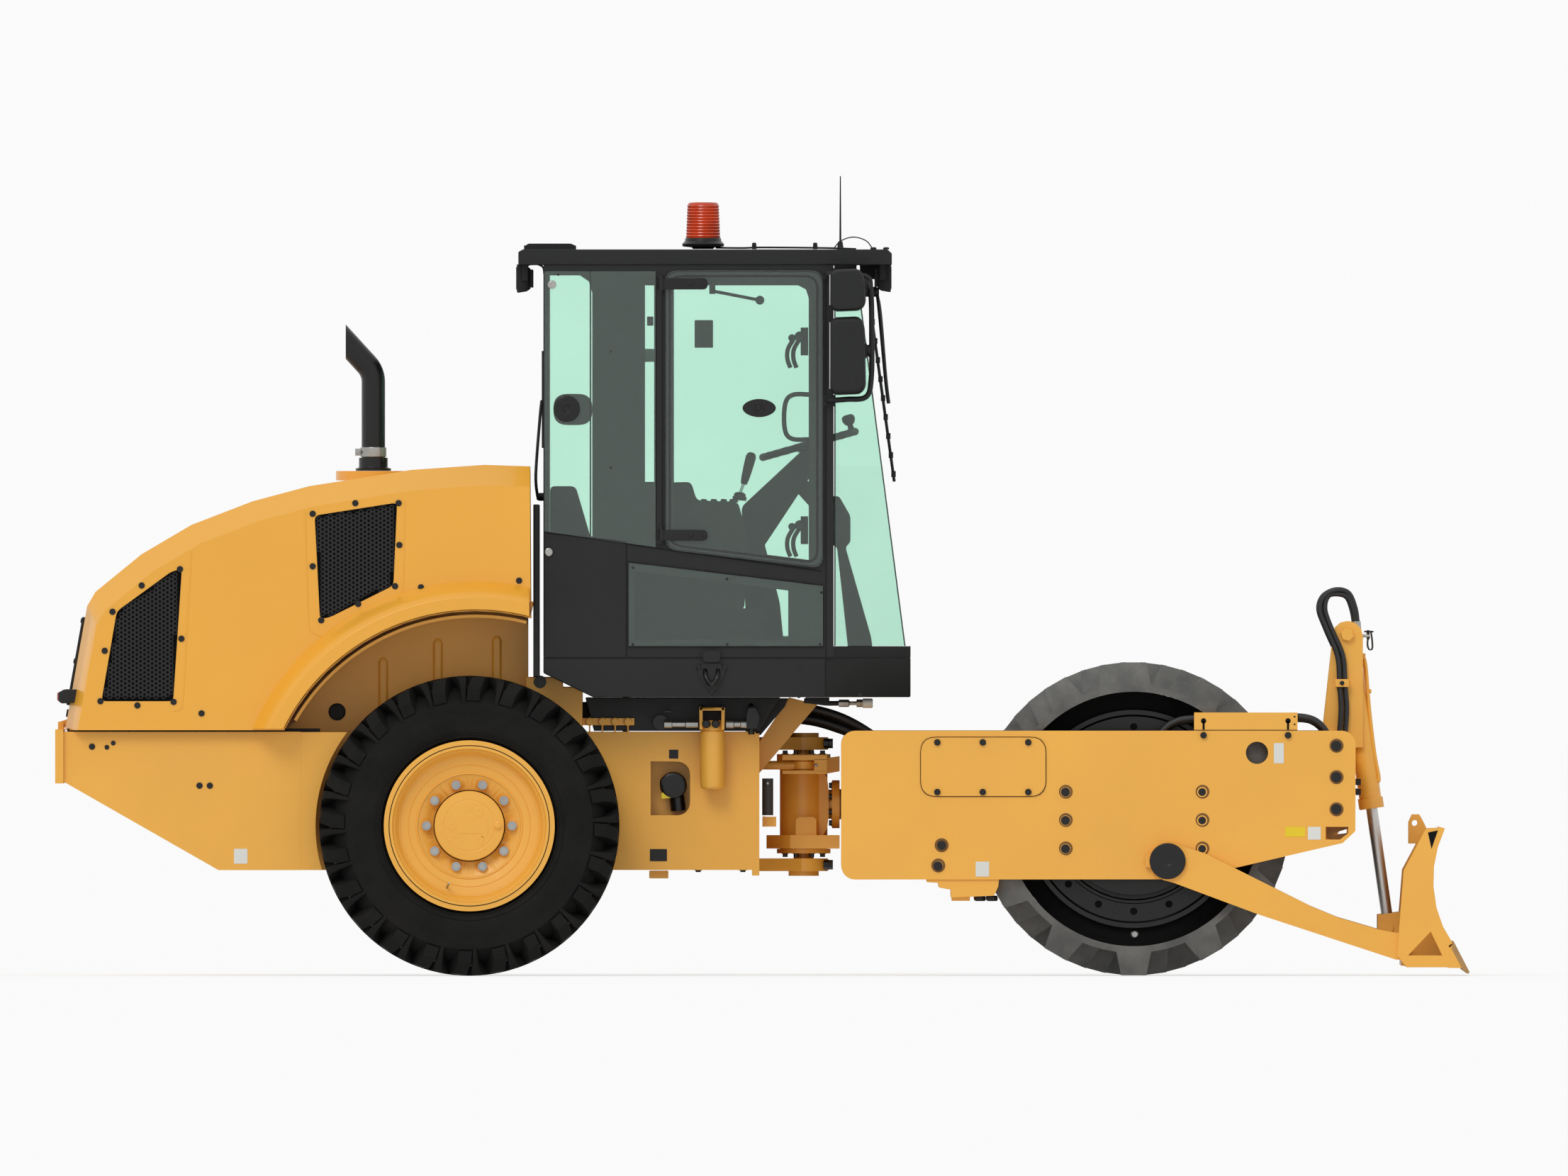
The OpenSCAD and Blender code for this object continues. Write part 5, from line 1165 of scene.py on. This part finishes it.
for px in (996.5, 1010):
    canister.lathe((at(px, 0)[0], cy - 0.048, at(0, 1021)[1]), (0, -1, 0), [(0, 0.015), (0.012, 0.017), (0.018, 0.013)], 20)
canister.use(ZINC)
for a, b in ((937, 985), (1024, 1057)):
    pa, pb = at(a, 0)[0], at(b, 0)[0]
    z = at(0, 1021)[1]
    canister.lathe((pa, cy + 0.02, z), (1, 0, 0), [(0, 0.013), (0.0, 0.018), (0.030, 0.018), (0.032, 0.014), ((pb - pa) * 0.62, 0.014),
                   ((pb - pa) * 0.64, 0.017), (pb - pa, 0.017)], 6 if a < 1000 else 20)
canister.done(bevel=0.0015, replaces=("filter",))
ports = Piece("pressure_port_comb", "rear", BODY)
ports.box((at(822, 0)[0], at(895, 0)[0]), (-0.449, -0.4303), (at(0, 1023)[1], at(0, 1013)[1]))
for px in (832, 850, 868, 886):
    q = at(px, 1018)
    ports.lathe((q[0], -0.4495, q[1]), (0, -1, 0), [(0, 0.0165), (0.006, 0.0165), (0.010, 0.013)], 24)
    ports.box((q[0] - 0.003, q[0] + 0.003), (-0.447, -0.4405), (at(0, 1034)[1], q[1]))
ports.use(GLOSS)
valve = at(1060, 1010)
ports.prism(rounded([at(1053, 1028), at(1068, 1028), at(1072, 1012), at(1066, 998), at(1056, 998), at(1053, 1010)], 0.01), -0.52, -0.46)
ports.rod((valve[0], -0.49, at(0, 1028)[1]), (valve[0], -0.49, at(0, 1036)[1]), 0.013)
ports.tube([(valve[0], -0.48, at(0, 1000)[1]), (valve[0] - 0.004, -0.40, at(0, 994)[1]), (valve[0] - 0.02, -0.33, at(0, 994)[1])], 0.011)
ports.lathe((at(932, 0)[0], -0.46, at(0, 1019)[1]), (0, 1, 0), [(0, 0.030), (0.03, 0.030), (0.04, 0.02)], 24)
ports.box((at(937, 0)[0], at(947, 0)[0]), (-0.455, -0.43), (at(0, 1005)[1], at(0, 1002)[1]))
ports.done(bevel=0.001)
drain = Piece("drain_box", "rear", BODY)
drain.prism(rounded([at(916, 1239), at(943, 1239), at(943, 1228), at(916, 1228)], 0.004), -0.40, -0.30)
drain.done(bevel=0.002)

screws("hitch_end_screws", "rear", [((at(p, 0)[0], y, 0.4165), (0, 0, -1)) for p in (985, 1048) for y in (-0.38, 0.38)],
       head=0.010, height=0.008, washer=0.015)
screws("side_box_plug", "rear", [((at(762, 962)[0], s * 0.5, at(762, 962)[1]), (0, s, 0)) for s in (RIGHT, LEFT)], head=0.022, height=0.006,
       washer=0.025, sides=24)

# ---- hitch ----
link = Piece("stored_lock_link", "rear", IRON)
lx = at(1083, 0)[0]
link.rod((lx, -0.30, at(0, 1150)[1]), (lx, -0.30, at(0, 1098)[1]), 0.022, n=24)
link.use(BODY).box((0.0, at(1095, 0)[0]), (-0.34, -0.26), (at(0, 1166)[1], at(0, 1152)[1]))
link.use(ZINC).lathe((lx, -0.3225, at(0, 1105)[1]), (0, -1, 0), [(0, 0.006), (0.003, 0.005)], 12)
for k in range(14):
    z = at(0, 1100)[1] - k * 0.011
    link.rod((0.006, -0.312, z), (0.010, -0.306 - (k % 2) * 0.006, z - 0.008), 0.0022, n=6)
link.done(bevel=0.001)

def hoop(piece, centre, y, radius, thick, n=96):
    """A thin ring round an axle along Y."""
    rows = []
    for i in range(n + 1):
        a = 2 * math.pi * i / n
        u = Vector((math.cos(a), 0, math.sin(a)))
        c = Vector((centre[0], y, centre[1])) + u * radius
        rows.append([c + u * (thick * math.cos(b)) + Vector((0, thick * math.sin(b), 0)) for b in (2 * math.pi * k / 8 for k in range(8))])
    piece.rings(rows, cap=False)


# ---- tyres: one bar of the tread is a row of sections from the sidewall to the middle ----
BAR = [  # base along and radius, top along and radius, turn and half width in degrees
    (0.178, 0.478, 0.1862, 0.484, 0.0, 0.7), (0.150, 0.520, 0.1875, 0.545, 0.0, 1.1), (0.125, 0.535, 0.182, 0.580, 0.2, 1.5),
    (0.100, 0.545, 0.168, 0.5915, 1.0, 1.9), (0.060, 0.548, 0.090, 0.592, 5.0, 2.2), (0.001, 0.548, 0.002, 0.592, 9.6, 2.3)]
for side, tag in ((RIGHT, "right"), (LEFT, "left")):
    mid = side * 0.711
    tyre = Piece("tyre_tread_" + tag, "wheel_" + tag, RUBBER)
    half = [(0.0, 0.554), (0.06, 0.5535), (0.114, 0.545), (0.145, 0.528), (0.163, 0.508), (0.176, 0.488), (0.1835, 0.462), (0.1855, 0.435),
            (0.183, 0.405), (0.176, 0.378), (0.168, 0.362), (0.160, 0.350), (0.142, 0.340)]
    tyre.lathe((WHEEL[0], mid, WHEEL[1]), (0, side, 0), [(-a, r) for a, r in half[:0:-1]] + half, 120, cap=False)
    for e in (-1, 1):
        for i in range(24):
            rows = []
            for base, low, top, high, turn, wide in BAR:
                row = []
                for along, r, w in ((base, low, -1.2), (base, low, 1.2), (top, high, 1.0), (top, high, -1.0)):
                    a = math.radians(i * 15 + 2.5 + turn + w * wide)
                    row.append((WHEEL[0] + r * math.cos(a), mid + e * along, WHEEL[1] + r * math.sin(a)))
                rows.append(row)
            tyre.rings(rows)
    tyre.done(bevel=0.0025, smooth=40, replaces=("tyre_" + tag,))
    ring = Piece("rim_rings_" + tag, "wheel_" + tag, BODY)
    for r, along, thick in ((0.296, 0.1490, 0.0035), (0.2775, 0.1105, 0.005), (0.207, 0.0960, 0.0045), (0.240, 0.1030, 0.0018)):
        hoop(ring, WHEEL, mid + side * along, r, thick)
    hoop(ring.use(SHADE_AND_SEAM_BLACK), WHEEL, mid + side * 0.1688, 0.3165, 0.0018)
    hoop(ring, WHEEL, mid + side * 0.0625, 0.1395, 0.0022)
    ring.done(smooth=60)

# ---- hood's wheel arch ----
ARCH = (-1.130, 0.596)
FLARE = [(0.961, -0.002), (0.953, 0.010), (0.939, 0.040), (0.923, 0.068), (0.909, 0.083), (0.897, 0.0925), (0.850, 0.0925), (0.8478, 0.088),
         (0.8478, 0.0)]
flare = Piece("arch_flare", "hood", HOOD)
for side in (RIGHT, LEFT):
    spans = [(math.pi - math.asin((0.974 - ARCH[1]) / r), math.acos((-0.919 - ARCH[0]) / r)) for r, _ in FLARE]
    flare.rings([[(ARCH[0] + r * math.cos(a + (b - a) * k / 60), side * (HOOD_SIDE + y), ARCH[1] + r * math.sin(a + (b - a) * k / 60))
                  for (r, y), (a, b) in zip(FLARE, spans)] for k in range(61)])
flare.done(bevel=0.0015, smooth=50)
tail_ends = Piece("tail_plate_ends", "rear", BODY)
for side in (RIGHT, LEFT):
    top, low = (0.9618 - WHEEL[1]) / 0.606, (0.4172 - WHEEL[1]) / 0.606
    sweep = [math.pi - math.asin(top + (low - top) * k / 16) for k in range(17)]
    tail_ends.prism([(at(424.8, 0)[0], 0.4172), (at(424.8, 0)[0], 0.9618)] +
                    [(WHEEL[0] + 0.606 * math.cos(a), WHEEL[1] + 0.606 * math.sin(a)) for a in sweep], side * 0.7275, side * 0.7397)
tail_ends.done(bevel=0.002)

# ---- exhaust pipe with its tip cut upright ----
pipe = Piece("exhaust_pipe", "hood", GLOSS)
sx, cut, slant = at(527, 0)[0], at(488, 0)[0], Vector((-0.676, 0, 0.737))


def pipe_ring(centre, along, r, to_cut=False):
    across = along.cross(Vector((0, 1, 0))).normalized()
    row = [centre + Vector((0, 1, 0)) * (r * math.cos(a)) + across * (r * math.sin(a)) for a in (2 * math.pi * k / 40 for k in range(40))]
    return [p + along * ((cut - p.x) / along.x) for p in row] if to_cut else row


start = Vector((sx, -0.3, 1.9925))
bend = [(start + Vector((0, 0, 0.352)), Vector((0, 0, 1)))]
for k in range(1, 7):
    a = k / 6 * math.radians(42.5)
    bend.append((Vector((sx - 0.10 * (1 - math.cos(a)), -0.3, 2.3445 + 0.10 * math.sin(a))), Vector((-math.sin(a), 0, math.cos(a)))))
pipe.rings([pipe_ring(start, Vector((0, 0, 1)), 0.0465)] + [pipe_ring(c, d, 0.0465) for c, d in bend]
           + [pipe_ring(bend[-1][0], slant, r, True) for r in (0.0465, 0.0435)] + [pipe_ring(bend[-1][0] + slant * 0.02, slant, 0.0435)])
pipe.lathe((sx, -0.3, 1.9925), (0, 0, 1), [(0, 0.070), (0.010, 0.070), (0.012, 0.060), (0.016, 0.057), (0.052, 0.057)], 48)
pipe.done(smooth=45, replaces=("exhaust_stack",))

# ---- hitch ----
screws("pivot_screws", "hitch", [((0.1638 + 0.080 * math.cos(a), 0.080 * math.sin(a), z), (0, 0, d))
                                 for a in (math.radians(22.5 + i * 45) for i in range(8)) for z, d in ((0.8745, 1), (0.4815, -1))],
       head=0.010, height=0.014, washer=0.014)
screws("bearing_screws", "hitch", [((0.2745, 0.080 * math.cos(a), 0.676 + 0.080 * math.sin(a)), (-1, 0, 0))
                                   for a in (math.radians(22.5 + i * 45) for i in range(8))], head=0.011, height=0.012, washer=0.015)
screws("ear_screws", "rear", [((at(1168.6, 0)[0], y, z), (1, 0, 0)) for y in (-0.05, 0.05) for z in (0.437, 0.916)], head=0.019, height=0.018,
       washer=0.021)
for side, tag in ((RIGHT, "right"), (LEFT, "left")):
    STEER = (0.1638, side * 0.190, 0.830)
    rod = Piece("steer_rod_end_" + tag, "steer_rod_" + tag, BODY)
    rod.lathe((-0.036, STEER[1], STEER[2]), (1, 0, 0), [(0, 0.0160), (0.006, 0.0172), (0.165, 0.0172), (0.172, 0.0180), (0.176, 0.0185)], 28)
    rod.lathe((STEER[0], STEER[1], STEER[2] - 0.0165), (0, 0, 1), [(0, 0.037), (0.003, 0.040), (0.030, 0.040), (0.033, 0.037)], 36)
    rod.use(CHROME).rod((-0.408, STEER[1], STEER[2]), (-0.034, STEER[1], STEER[2]), 0.0172, n=28)
    rod.done(bevel=0.001, replaces=("steer_rod_" + tag,))
coupling = Piece("oil_coupling", "rear", MOULDED)
cy, cz = -0.46, at(0, 992)[1]
coupling.tube([(at(1134, 0)[0], cy, cz + 0.010), (at(1148, 0)[0], cy, cz + 0.006), (at(1165, 0)[0], cy, cz), (at(1184, 0)[0], cy, cz)], 0.010)
coupling.box((at(1136, 0)[0], at(1170, 0)[0]), (-0.49, -0.44), (1.0775, 1.0985))
coupling.use(ZINC).lathe((at(1183, 0)[0], cy, cz), (1, 0, 0), [(0, 0.014), (0.004, 0.0155), (0.040, 0.0155), (0.044, 0.008), (0.070, 0.008),
                         (0.071, 0.016), (0.094, 0.016), (0.095, 0.013)], 6)
coupling.use(PLATE).lathe((at(1216.5, 0)[0], cy, cz), (1, 0, 0), [(0, 0.0155), (0.003, 0.019), (0.038, 0.019), (0.041, 0.016)], 24)
coupling.done(bevel=0.001)

# ---- hoses ----
loops = Piece("hitch_hoses", "front", HOSE)
for y, lift, r in ((-0.17, 0.026, 0.0155), (-0.11, -0.016, 0.017), (-0.05, 0.012, 0.017), (0.01, -0.028, 0.015), (0.07, 0.020, 0.017), (0.13, -0.008, 0.015)):
    loops.tube([(0.10, y, 1.040 + lift), (0.21, y, 1.026 + lift), (0.32, y, 0.992 + lift), (0.42, y, 0.944 + lift * 0.7), (0.492, y, 0.900),
                (0.500, y, 0.8695)], r, n=12)
    loops.use(ZINC).lathe((0.500, y, 0.8683), (0, 0, 1), [(0, 0.020), (0.010, 0.020), (0.011, 0.017), (0.030, 0.0175)], 6)
    loops.use(HOSE)
for side in (RIGHT, LEFT):
    # pair up to each lift cylinder, clamped to the tower and looped over its top
    for k in (0, 1):
        y = side * (0.563 - 0.006 * k)
        path = [at(1889 + k * 8, 1032), at(1891 + k * 8, 1000), at(1889 + k * 7.5, 964), at(1886 + k * 7.5, 925), at(1871 + k * 7, 888), at(1861 + k * 7.5, 860),
                at(1867 + k * 6, 841), at(1885 + k * 3, 832 + k * 6), at(1902 - k, 837 + k * 6), at(1911 - k * 3, 858 + k * 3), at(1914 - k * 3, 878)]
        ys = [y] * 8 + [side * 0.553, side * 0.536, side * 0.520]
        loops.tube([(p[0], q, p[1]) for p, q in zip(path, ys)], 0.0104, n=12)
        loops.use(ZINC).rod((path[-1][0], ys[-1], path[-1][1] + 0.004), (path[-1][0] + 0.004, ys[-1], path[-1][1] - 0.045), 0.0135, n=16)
        loops.use(HOSE)
    # bundle over the drum plates' top, behind the guard
    for k in range(3):
        y = side * (0.842 - 0.028 * k)
        loops.tube([(at(*p)[0], y, at(*p)[1] - 0.010 * (k % 2)) for p in
                    ((1630, 1046), (1642, 1028), (1656, 1018), (1678, 1013), (1740, 1012), (1800, 1012), (1836, 1011), (1856, 1017), (1870, 1032), (1874, 1050))],
                   0.0125, n=12)
loops.done(replaces=("hoses",))
clamp = Piece("hose_clamps", "front", BODY)
for side in (RIGHT, LEFT):
    clamp.prism([at(1883, 969), at(1902, 969), at(1902, 958), at(1883, 958)], side * 0.542, side * 0.583)
    q = at(1892.5, 963.5)
    clamp.use(GLOSS).lathe((q[0], side * 0.5835, q[1]), (0, side, 0), [(0, 0.009), (0.005, 0.009), (0.007, 0.006)], 16)
    clamp.use(BODY)
clamp.done(bevel=0.0015)

# ---- drum frame's side ----
# Painted shade: brown rings round the bolt heads stand in for the shade in their counterbores; the same brown fills the
# lifting slots further on.
SHADE = finish("recess_shade", (124, 84, 36), rough=0.7, shift=0.05)
recess = Piece("bolt_recess_shade_rings", "front", SHADE)
for side in (RIGHT, LEFT):
    for x in (1503, 1695.5):
        for z in (1116.5, 1156.3, 1196.3):
            q = at(x, z)
            recess.lathe((q[0], side * (YOKE_SIDE + 0.0002), q[1]), (0, side, 0), [(0, 0.027), (0.0012, 0.027), (0.0012, 0.018)], 32)
    for p in ((1884.3, 1051.7), (1884.3, 1096), (1884.3, 1141.3), (1328, 1191.8), (1323.3, 1220.4)):
        q = at(*p)
        recess.lathe((q[0], side * (YOKE_SIDE + 0.0002), q[1]), (0, side, 0), [(0, 0.0275), (0.0012, 0.0275), (0.0012, 0.018)], 32)
    c = at(1646.3, 1214.3)
    recess.use(SHADE_AND_SEAM_BLACK)
    if side == RIGHT:
        outline_tube(recess, rounded([at(1298.3, 1123.2), at(1475, 1123.2), at(1475, 1039.5), at(1298.3, 1039.5)], 0.062), -0.8832, 0.0014)
        recess.prism([at(1684, 1030.3), at(1829.3, 1030.3), at(1829.3, 1029.4), at(1684, 1029.4)], -0.8801, -0.8812)
        for x in (1697, 1816):
            k0, k1 = at(x - 1.5, 1029), at(x + 1.5, 1017)
            recess.box((k0[0], k1[0]), (-0.8811, -0.8801), (k0[1], k1[1]))
            q = at(x, 1016.7)
            recess.lathe((q[0], -0.8801, q[1]), (0, -1, 0), [(0, 0.0105), (0.001, 0.0105)], 24)
        for z in (1010.8, 1021.6):
            q = at(1825.3, z)
            recess.lathe((q[0], -0.8801, q[1]), (0, -1, 0), [(0, 0.0036), (0.001, 0.0036)], 12)
    recess.use(SHADE)
recess.use(GLOSS)
for side in (RIGHT, LEFT):
    # low heads that the push arms pass over
    for z in (1117, 1157, 1197):
        q = at(1695, z)
        recess.lathe((q[0], side * 0.8847, q[1]), (0, side, 0), [(0, 0.0155), (0.0006, 0.0155), (0.0009, 0.0140)], 24)
recess.done(smooth=40)
blocks = Piece("scraper_brackets", "front", BODY)
for side in (RIGHT, LEFT):
    blocks.prism([at(1307, 1239.5), at(1307, 1244), at(1323, 1245), at(1324, 1251.5), at(1341, 1254.6), at(1341, 1266), at(1402, 1263), at(1408, 1250),
                  at(1409, 1239.5)], side * 0.70, side * 0.872)
    blocks.prism([at(1866, 1187), at(1866, 1163), at(1893, 1163), at(1880, 1187)], side * 0.80, side * 0.815)
    blocks.use(GLOSS)
    for x in (1382, 1399):
        q = at(x, 1264)
        blocks.lathe((q[0], side * 0.80, q[1]), (0, 0, -1), [(0, 0.024), (0.016, 0.024), (0.019, 0.019)], 6)
    blocks.use(BODY)
blocks.done(bevel=0.002)
caps = Piece("arm_pivot_caps", "blade", GLOSS)
for side in (RIGHT, LEFT):
    c = at(1646.3, 1214.3)
    caps.lathe((c[0], side * 0.9281, c[1]), (0, side, 0), [(0, 0.0715), (0.004, 0.0715), (0.006, 0.069), (0.006, 0.018), (0.0045, 0.016)], 56)
    caps.use(BODY).prism([at(1615, 1222), at(1623, 1224), at(1623, 1204), at(1618, 1205), at(1615, 1209)], side * 0.887, side * 0.905)
    caps.use(GLOSS)
caps.done(bevel=0.001)

# ---- towers and blade ----
towers = Piece("tower_bolts", "front", BODY)
for side in (RIGHT, LEFT):
    for y, d in ((0.5635, 1), (0.3965, -1)):
        q = at(1900, 895.5)
        towers.lathe((q[0], side * (0.480 + d * 0.0625), q[1]), (0, side * d, 0), [(0, 0.030), (0.004, 0.030), (0.004, 0.027), (0.018, 0.027), (0.021, 0.024)], 6)
    towers.use(ZINC).rod((at(1923, 0)[0], side * 0.50, at(0, 897)[1]), (at(1931, 0)[0], side * 0.50, at(0, 897)[1]), 0.0065, n=10)
    towers.use(GLOSS).rod((at(1930, 0)[0], side * 0.50, at(0, 889)[1]), (at(1930, 0)[0], side * 0.50, at(0, 902)[1]), 0.0045, n=10)
    towers.rod((at(1925, 0)[0], side * 0.50, at(0, 891)[1]), (at(1937, 0)[0], side * 0.50, at(0, 891)[1]), 0.0035, n=8)
    loop = [(at(x, 0)[0], side * 0.50, at(0, z)[1]) for x, z in ((1932, 898), (1929.5, 903), (1929.5, 912), (1932.5, 917), (1936, 914), (1935.5, 902), (1934, 892))]
    towers.tube(loop, 0.0022, n=6)
    for z in (1103, 1117):
        towers.box((at(1912, 0)[0], at(1919, 0)[0]), sorted((side * 0.544, side * 0.575)), (at(0, z + 4.5)[1], at(0, z - 4.5)[1]))
    towers.use(BODY)
towers.done(bevel=0.0012)
feed = Piece("lift_feed_pipes", "lift_barrels", BODY)
for side in (RIGHT, LEFT):
    pts = [at(1922, 926), at(1926, 940), at(1931, 1000), at(1938, 1060), at(1944.5, 1097), at(1942, 1102)]
    feed.tube([(x, side * 0.497, z) for x, z in pts], 0.0075, n=10)
    feed.box((pts[0][0] - 0.012, pts[0][0] + 0.010), sorted((side * 0.484, side * 0.510)), (pts[0][1] - 0.010, pts[0][1] + 0.012))
    q = at(1928, 975)
    feed.lathe((q[0] + 0.008, side * 0.497, q[1]), (1, 0, 0), [(0, 0.009), (0.006, 0.009), (0.009, 0.006)], 12)
feed.done(smooth=45)
# Painted shade: a thin near-black sheet on each blade end stands in for the shade inside its opening.
opening_shade = Piece("blade_end_opening_shade", "blade", SHADE_AND_SEAM_BLACK)
for side in (RIGHT, LEFT):
    opening_shade.prism([at(2013, 1174), at(2027, 1171), at(2018, 1197)], side * 0.9342, side * 0.9352)
opening_shade.done()

# ---- arch liners: a swept strip and the wall beside the wheel ----
arch = Piece("arch_liners", "rear", BODY)
for side in (RIGHT, LEFT):
    turns = [math.radians(150 - 74 * i / 36) for i in range(37)]
    arch.rings([[(-1.130 + r * math.cos(t), side * y, 0.596 + r * math.sin(t)) for r, y in
                 ((0.829, 0.430), (0.829, 0.765), (0.817, 0.765), (0.817, 0.430))] for t in turns])
    edge = [(-1.130 + 0.890 * math.cos(t), 0.596 + 0.890 * math.sin(t)) for t in turns if math.degrees(t) > 78.0]
    arch.rings([[(x, side * 0.430, z), (x, side * 0.440, z), (x, side * 0.440, 0.9635), (x, side * 0.430, 0.9635)]
                for x, z in edge + [(-0.925, 1.462)]])
arch.done(replaces=("fender_liners",))

# ---- hood's pierced screens over near-black sheets of painted shade, and its seal on the tail ----
shade_sheet = Piece("screen_shade_sheets", "hood", SCREEN_SHADE_BLACK)
for side, tag in ((RIGHT, "right"), (LEFT, "left")):
    for label, pixels in (("rear", [(144.4, 989), (245.4, 989), (257.6, 803), (243.5, 806), (166, 862.4)]),
                          ("front", [(444.8, 727.5), (560.8, 709.3), (555.7, 826), (465.7, 871), (452.2, 873)])):
        outline = rounded([at(*p) for p in pixels], 0.020)
        shade_sheet.prism(outline, side * (HOOD_SIDE + 0.0003), side * (HOOD_SIDE + 0.0012))
        pierced_sheet("hood_screen_%s_%s" % (label, tag), "hood", outline, lambda u, v, s=side: (u, s * (HOOD_SIDE + 0.0022), v), (0, side, 0),
                      pitch=0.0175, hole=0.56, edge=0.52)
shade_sheet.done()
seal = Piece("hood_seal", "rear", SEAL)
for side in (RIGHT, LEFT):
    seal.box((at(96, 0)[0], at(452, 0)[0]), sorted((side * 0.62, side * 0.715)), (at(0, 1034)[1], at(0, 1027.5)[1]))
seal.done(bevel=0.002)

# ---- hitch: stop block on the lower plate, skirt behind the platform's strut ----
stop = Piece("yoke_stop_block", "hitch", BODY)
for side in (RIGHT, LEFT):
    stop.prism([at(1122, 1180), at(1122, 1156), at(1126, 1152), at(1148, 1152), at(1152, 1156), at(1152, 1180)], side * 0.094, side * 0.128)
stop.done(bevel=0.003)
clevis = Piece("yoke_clevises", "hitch", BODY)
for side in (RIGHT, LEFT):
    for x, z in (((0.0787, 0.2560), (0.8505, 0.8708)), ((0.0787, 0.2560), (0.7958, 0.8090)), ((0.2040, 0.2560), (0.8050, 0.8550))):
        clevis.box(x, sorted((side * 0.2340, side * 0.2440)), z)
    clevis.box((0.1250, 0.2560), sorted((side * 0.1400, side * 0.2340)), (0.8500, 0.8708))
    clevis.use(ZINC).lathe((0.212, side * 0.2438, 0.830), (0, side, 0), [(0, 0.008), (0.003, 0.007), (0.006, 0.003)], 12)
    clevis.use(BODY)
clevis.done(bevel=0.002)
skirt = Piece("platform_skirt", "rear", SATIN)
for side in (RIGHT, LEFT):
    skirt.prism([at(1052, 985), at(1112, 985), at(1107, 997), at(1073, 1037), at(1052, 1037)], side * 0.30, side * 0.32)
skirt.done(bevel=0.002)

# ---- painted shade sheets in the lifting slots, blade heels ----
slot = Piece("slot_shade_sheets", "front", SHADE)
for side in (RIGHT, LEFT):
    slot.prism([at(1871, 1181), at(1871, 1166), at(1901, 1166), at(1901, 1168.5), at(1880, 1175), at(1880, 1178), at(1901, 1176), at(1895, 1184), at(1875, 1184)],
               side * 0.846, side * 0.849)
slot.done()
heel = Piece("blade_heels", "blade", BODY)
for side in (RIGHT, LEFT):
    heel.prism([at(2044, 1336), at(2049, 1330), at(2061, 1365), at(2040, 1364.5)], side * 0.918, side * 0.9335)
heel.done(bevel=0.0015)
